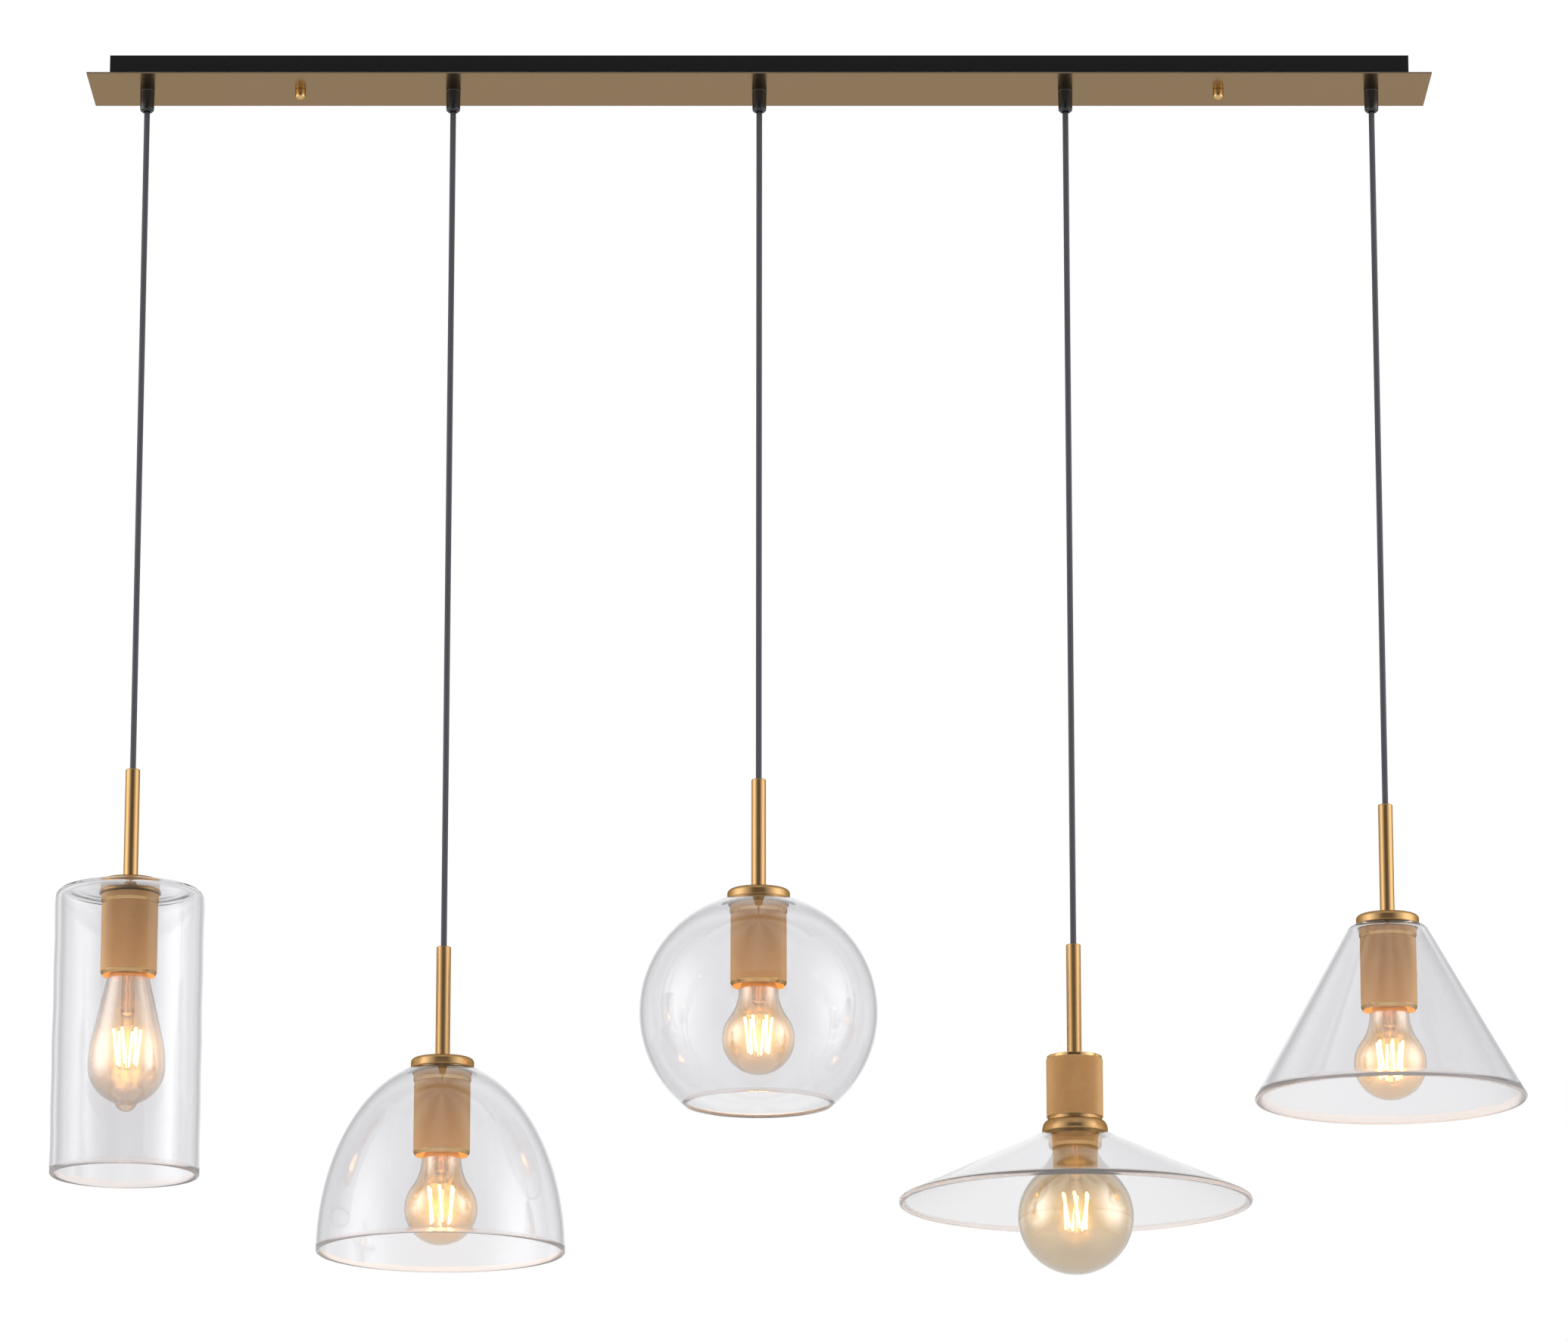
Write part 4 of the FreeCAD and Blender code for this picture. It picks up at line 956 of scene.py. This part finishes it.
def ring_rows(radius, top, height):
    """A ring nut: a knurled band between a plain top and a polished bevel."""
    low = top - height
    rows = plain([(NECK_BORE, top), (radius - 0.5, top)])
    rows += knurled(radius, top - 0.5, low + 3.0)
    rows += plain([(radius - 0.1, low + 2.8), (radius, low + 2.6), (radius - 1.25, low + 0.1)])
    return rows + plain([(radius - 1.4, low), (NECK_BORE, low)])


ring_form = spin(ring_rows(24.0, -12.5, 8.0), KNURL_TURNS)
tall_ring_form = spin(ring_rows(22.0, -68.5, 10.5), KNURL_TURNS)
for number in PENDANTS:
    x, z = axis_of(number), foot_of(number)
    # sleeves above a lamp get the knurl with the painted lamplight glow
    outside = knurled_brass if number == TALL else lamplit_knurled_brass
    finishes = [outside, polished_brass, turned_brass, lamplit_mouth_brass]
    form = tall_form if number == TALL else sleeve_form
    sleeve = piece(f"knurled_sleeve_{number}", form, finishes, x, z, 12)
    fit(sleeve, f"pendant_{number}", "knurled_brass", f"sleeve_{number}")
    form = tall_ring_form if number == TALL else ring_form
    ring = piece(f"knurled_ring_{number}", form, finishes, x, z, 12)
    fit(ring, f"pendant_{number}", "knurled_brass", f"ring_nut_{number}")
print("knurled faces on a sleeve:", len(sleeve_form.faces))

# %% [markdown]
# ## Glass shades
#
# Each shade is an outline of its outer side, from the ground seat under the cap down to the rim.
# The inner side follows at the thickness of the wall, and the rim is melted round. Blown and
# pulled glass is never quite even, so the tube's wall gets a slight wave.

# %% Shades
SEAT_LOW = -4.5
HOLE = 19.65
# RIM is the finish number of the melted rim, which gets the glass with painted light
RIM = 1
RIM_STEPS = 8
FLAT_RIM_FROM = 142.0


def glass_outline(outer, wall):
    """Closes an outer side, which starts flat at height zero, into a shade with seat and rim."""
    closed = shell(outer, wall, RIM_STEPS)
    rim_end = len(outer) + RIM_STEPS - 1
    inner = closed[rim_end:]
    kept = [point for point in inner if point[1] < SEAT_LOW]
    beyond = inner[len(kept)]
    share = (SEAT_LOW - kept[-1][1]) / (beyond[1] - kept[-1][1])
    meet = kept[-1][0] + (beyond[0] - kept[-1][0]) * share
    top = [(meet, SEAT_LOW), (HOLE, SEAT_LOW), (HOLE, 0.0)]
    rim = [Row(*point, RIM) for point in closed[len(outer) - 1 : rim_end]]
    return closed[: len(outer) - 1] + rim + kept[1:] + top


def tube_side():
    corners = [(24.0, 0.0), (61.5, 0.0, 9.0), (61.5, -238.0)]
    return refine(soften(corners, closed=False, steps=14), 4)


def dome_side():
    wide, tall = 102.0, 158.5
    start = math.acos(26.0 / wide)
    top = tall * math.sin(start)
    turns = np.linspace(start, 1.5 / tall, 70)
    return [(23.0, 0.0)] + [(wide * math.cos(t), tall * math.sin(t) - top) for t in turns]


def globe_side():
    radius = 98.3
    start, end = math.degrees(math.acos(26.0 / radius)), -math.degrees(math.acos(60.6 / radius))
    centre = -radius * math.sin(math.radians(start))
    return [(23.0, 0.0)] + arc(0.0, centre, radius, start, end, 72)


def cone_side():
    corners = [(24.0, 0.0), (31.0, 0.0, 11.0), (111.6, -144.2)]
    return refine(soften(corners, closed=False, steps=10), 6)


flat_corners = [(HOLE, 0.0), (HOLE, SEAT_LOW), (27.0, SEAT_LOW), (139.4, -57.0, 1.0)]
flat_corners += [(141.6, -59.0, 1.2), (144.8, -59.0, 1.8), (144.8, -55.2, 1.6), (27.0, 0.0, 0.5)]
flat_points = even(soften(flat_corners, steps=6), 4)
flat_outline = [Row(r, z, RIM if r > FLAT_RIM_FROM else 0) for r, z in flat_points]
WAVE_FROM, WAVE_TO = 12, 236


def wave(angles, row):
    """Slight unevenness of a pulled tube, none at its top and its rim."""
    level = -row.height
    if level < WAVE_FROM or level > WAVE_TO:
        return 0.0
    swell = math.sin(level / 9.0) + 0.6 * math.sin(level / 21.0 + 1.0)
    return 0.16 * swell + 0.05 * np.sin(3 * angles + level / 30.0)


shade_forms = {
    1: spin(glass_outline(tube_side(), 4.0), 128, ripple=wave),
    2: spin(glass_outline(dome_side(), 3.0), 160),
    3: spin(glass_outline(globe_side(), 2.5), 160),
    4: spin(flat_outline, 176),
    5: spin(glass_outline(cone_side(), 4.0), 160),
}
for number, form in shade_forms.items():
    seat = FLANGE_LOW if number == TALL else CAP_LOW
    top = foot_of(number) + seat * MM
    shade = piece(f"glass_shade_{number}", form, [shade_glass, lit_rim_glass], axis_of(number), top, 50)
    hide_from(shade, "shadow")
    fit(shade, f"pendant_{number}", "shade_glass", f"shade_{number}")
    print("shade", number, "points", len(form.points))

# %% [markdown]
# ## Lamps
#
# A lamp is blown glass on a screw cap. Its outline is drawn from the tip of the cap's contact
# down. Ball lamps have a hollow waist that runs into the ball, and the pear lamp has long,
# slightly curved flanks, a round foot and the small nub where its glass was sealed.

# %% Lamp outlines
NECK = [(12.55, -23.4), (12.55, -25.8)]


def ball_side(radius, shank, neck, waist):
    """A ball, and the hollow waist's radius, which ends in a neck below the shank."""
    start = -25.0 - shank
    reach = radius + waist
    rise = math.sqrt(reach**2 - (neck + waist) ** 2)
    centre = start - rise
    turn = math.degrees(math.asin(rise / reach))
    hollow = arc(neck + waist, start, waist, 180, 180 + turn, 14)
    ball = arc(0.0, centre, radius, turn, -90, 48)
    ball[-1] = (0.0, centre - radius)
    return NECK + hollow + ball[1:]


def pear_side():
    radius, flank_radius, foot_radius, nub_radius = 32.0, 109.0, 31.6, 9.3
    widest, tip = -107.0, -145.0
    lean = math.degrees(math.asin(28.4 / flank_radius))
    flank = arc(radius - flank_radius, widest, flank_radius, lean, 0, 14)
    foot = arc(radius - foot_radius, widest, foot_radius, 0, -64.9, 20)
    nub = arc(0.0, tip + nub_radius, nub_radius, -14, -90, 12)
    nub[-1] = (0.0, nub[-1][1])
    shoulder = soften([(12.55, -25.8), (17.0, -31.0, 5.0), flank[0]], closed=False, steps=6)
    return NECK[:1] + refine(shoulder, 5) + flank[1:] + foot[1:] + nub


# each lamp's outline, and how far below the contact its sticks start
LAMPS = {
    1: (pear_side(), 73.5),
    2: (ball_side(30.0, 8.4, 16.3, 40.0), 54.5),
    4: (ball_side(47.5, 2.3, 16.2, 34.0), 69.5),
}
LAMPS[3] = LAMPS[5] = LAMPS[2]
STICK = 35.0
for number, (side, drop) in sorted(LAMPS.items()):
    print("lamp", number, "is", round(-side[-1][1], 1), "mm long, sticks from", drop)

# %% Lamp glass
# each pair is the glass's own tint, then its painted edge tone: darker on the pear lamp, paler on
# the others
PALE_AMBER = ((0.84, 0.70, 0.56), (0.52, 0.42, 0.36))
AMBER = ((0.81, 0.63, 0.41), (0.80, 0.77, 0.72))
BROWN_AMBER = ((0.68, 0.545, 0.32), (0.64, 0.60, 0.53))
# strengths of the painted glow of the sticks' light in each lamp's glass
GLOW, TALL_GLOW = 0.24, 0.12
GLOW_PAST_STICKS = 4.0
LAMP_WALL = 0.8
for number, (side, drop) in LAMPS.items():
    tints = {1: PALE_AMBER, TALL: BROWN_AMBER}.get(number, AMBER)
    low, high = -(drop + STICK + GLOW_PAST_STICKS) * MM, -(drop - GLOW_PAST_STICKS) * MM
    strength = TALL_GLOW if number == TALL else GLOW
    coat = amber_glass(f"lamp_glass_{number}", low, high, *tints, strength)
    form = spin(shell(refine(side, 4), LAMP_WALL), 112)
    glass = piece(f"amber_glass_{number}", form, [coat], axis_of(number), contact_of(number), 40)
    hide_from(glass, "shadow")
    fit(glass, f"lamp_{number}", "lamp_glass", f"lamp_glass_{number}")

# %% Screw caps
THREAD_PITCH, THREAD_DEPTH = 3.6, 0.55
THREAD_LOW, THREAD_TOP = -23.5, -5.5
METAL, INSULATOR = 0, 1


def thread(angles, row):
    """A rolled thread: a wave that climbs once round for each turn."""
    if row.radius < 12.0 or not THREAD_LOW < row.height < THREAD_TOP:
        return 0.0
    return THREAD_DEPTH * np.cos(2 * math.pi * row.height / THREAD_PITCH - angles) - THREAD_DEPTH


cap_side = [(13.1, -25.0), (13.1, -24.0)] + [(13.1, -23.5 + 0.45 * k) for k in range(41)]
cap_rows = plain([(0.0, -5.6), (12.5, -5.6), (12.5, -25.0)] + cap_side, METAL)
cap_rows += plain([(12.6, -4.9), (11.6, -4.6), (5.2, -2.1)], INSULATOR)
cap_rows += plain([(5.0, -2.0), (5.0, -0.8), (4.2, -0.2), (2.0, 0.0), (0.0, 0.0)], METAL)
screw_cap = spin(cap_rows, 72, closed=False, ripple=thread)
for number in PENDANTS:
    metals = [nickel, black_gloss]
    cap = piece(f"screw_cap_{number}", screw_cap, metals, axis_of(number), contact_of(number))
    fit(cap, f"lamp_{number}", "lamp_cap_metal", f"lamp_cap_{number}")
print("lamps: glass and screw caps")

# %% [markdown]
# ## Glass mounts and lit sticks
#
# Inside each lamp a glass tube flares at its top, where it is sealed to the envelope, and is
# pinched flat at its foot round the wires. A thin rod goes on down the middle. Six sticks stand
# round the rod as a cage. Each is a lit rod between two metal tips, and fine wires hold it.

# %% Mounts


def bar(start, end, radius, sides=12):
    """A rod with rounded ends between two points."""
    start, end = Vector(start), Vector(end)
    length = (end - start).length
    soft = min(radius, length / 3)
    rows = [(radius * math.sin(t), soft - soft * math.cos(t)) for t in np.linspace(0, 1.57, 4)]
    rows = [(0.0, 0.0)] + rows[1:] + [(r, length - z) for r, z in rows[:0:-1]] + [(0.0, length)]
    turn = (end - start).to_track_quat("Z", "X").to_matrix().to_4x4()
    return spin(rows, sides, closed=False).moved(Matrix.Translation(start) @ turn)


TUBE_RADIUS, CRIMP_HALF_WIDTH, CRIMP_HALF_DEPTH = 5.6, 5.0, 2.2


def pinch(top, low, sides=40):
    """The crimp: a tube pressed flat, with a crumpled surface."""
    points = []
    for level in np.linspace(0, 1, 13):
        flat = math.sin(min(1.0, level * 2.2) * math.pi / 2)
        wide = TUBE_RADIUS + (CRIMP_HALF_WIDTH - TUBE_RADIUS) * flat
        deep = TUBE_RADIUS + (CRIMP_HALF_DEPTH - TUBE_RADIUS) * flat
        z = top + (low - top) * level
        for k in range(sides):
            t = 2 * math.pi * k / sides
            dent = 1 + 0.07 * math.sin(k * 5.3 + level * 31.0) * flat
            points.append((wide * dent * math.cos(t), deep * dent * math.sin(t), z))
    return join(points, sides)


def mount_form(drop):
    """The tube with its flare, its crimp and the rod between the sticks."""
    crimp_low = -drop + 0.9
    crimp_top = crimp_low + 10.0
    flare = [(11.4, -25.2), (11.5, -26.0), (8.2, -27.6), (5.9, -30.5), (TUBE_RADIUS, -33.5)]
    outer = refine(flare + [(TUBE_RADIUS, crimp_top + 0.2)], 4)
    closed = shell(outer, 0.9, 4)
    rod = bar((0, 0, crimp_low + 2.0), (0, 0, -drop - STICK - 2.0), 1.3)
    return spin(closed, 48) + pinch(crimp_top, crimp_low) + rod


# %% Sticks and wires
STICK_TURN = {1: 12.0, 2: 25.0, 3: 5.0, 4: 20.0, 5: 35.0}
TWIST = {1: 14.0, 2: 16.0, 3: 14.0, 4: 34.0, 5: 16.0}
TOP_CIRCLE, LOW_CIRCLE = 11.5, 8.0
STICK_RADIUS, TIP_RADIUS, WIRE_RADIUS, LAMPLIT_WIRE_RADIUS = 1.15, 0.75, 0.22, 0.3
TIP = 2.4


def around(radius, angle, height):
    t = math.radians(angle)
    return Vector((radius * math.cos(t), radius * math.sin(t), height))


def cage(number, drop):
    """The six sticks, their tips and their wires, as two forms."""
    sticks, wires = Form([], [], []), Form([], [], [])
    for k in range(6):
        angle = 60.0 * k + STICK_TURN[number]
        top = around(TOP_CIRCLE, angle, -drop)
        low = around(LOW_CIRCLE, angle + TWIST[number], -drop - STICK)
        along = (low - top).normalized()
        glow = bar(top + along * TIP, low - along * TIP, STICK_RADIUS)
        tips = bar(top, top + along * (TIP + 0.2), TIP_RADIUS, 10)
        tips += bar(low - along * (TIP + 0.2), low, TIP_RADIUS, 10)
        crimp = (2.2 * math.cos(math.radians(angle)), 0, -drop + 1.4)
        bend = top * 0.6 + Vector((0, 0, -drop * 0.4 + 0.6))
        upper = tube([crimp, bend, top], WIRE_RADIUS)
        rod_end = (0, 0, -drop - STICK - 1.2)
        bend = low * 0.5 + Vector((0, 0, (-drop - STICK) * 0.5 - 0.8))
        lower = tube([rod_end, bend, low], WIRE_RADIUS)
        sticks += glow
        wires += tips + upper + lower
    return sticks, wires


def lamplit_leads(drop):
    """Two wavy wires down the mount's tube to the crimp, which glow with painted light of the
    sticks.
    """
    made = Form([], [], [])
    for side in (-1, 1):
        path = []
        for z in np.linspace(0, max(10.0, drop - 42.0), 26):
            sway = side * (1.6 + 0.5 * math.sin(z / 2.3 + side))
            path.append((sway, 0.7 * math.cos(z / 1.9), -drop + 11.0 + z))
        made += tube(path, LAMPLIT_WIRE_RADIUS)
    return made


for number, (side, drop) in LAMPS.items():
    x, z, body = axis_of(number), contact_of(number), f"lamp_{number}"
    mount = piece(f"glass_mount_{number}", mount_form(drop), [mount_glass], x, z, 25)
    hide_from(mount, "shadow")
    fit(mount, body, "filament_glass", f"filament_{number}")
    sticks, wires = cage(number, drop)
    made = piece(f"lit_sticks_{number}", sticks, [stick_glow], x, z)
    hide_from(made, "shadow", "glossy")
    fit(made, body, "filament_glass")
    fit(piece(f"stick_wires_{number}", wires, [nickel], x, z), body, "lamp_cap_metal")
    # leads with a painted glow of the sticks' light
    fit(piece(f"lamplit_wires_{number}", lamplit_leads(drop), [lamplit_wire_glow], x, z), body, "filament_glass")
print("mounts and cages:", len(LAMPS))

# %% [markdown]
# ## Light from the lamps
#
# The sticks are small, and rays rarely find them by chance. A warm point light in the middle of
# each cage does their work on the brass around. It rides on the lamp, so it goes where the lamp
# goes. Reflections and glass don't see it, because it would show there as a second lamp. Light
# that a wall of glass leads along itself needs many bounces before it comes out.

# %% Lamp lights
LAMP_POWER, LAMP_COLOUR, LAMP_SIZE = 0.55, (1.0, 0.55, 0.2), 0.006
BOUNCES, CLEAR_BOUNCES = 24, 16
for number, (side, drop) in LAMPS.items():
    bulb = bpy.data.lights.new(f"lamp_light_{number}", "POINT")
    bulb.energy, bulb.color, bulb.shadow_soft_size = LAMP_POWER, LAMP_COLOUR, LAMP_SIZE
    made = bpy.data.objects.new(f"lamp_light_{number}", bulb)
    made.location = (axis_of(number), 0, contact_of(number) - (drop + STICK * 0.4) * MM)
    hide_from(made, "glossy", "transmission")
    bpy.context.scene.collection.objects.link(made)
    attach(made, f"lamp_{number}")

cycles = bpy.context.scene.cycles
cycles.max_bounces = cycles.transmission_bounces = cycles.glossy_bounces = BOUNCES
cycles.transparent_max_bounces = CLEAR_BOUNCES
print("lamp lights:", len(LAMPS))
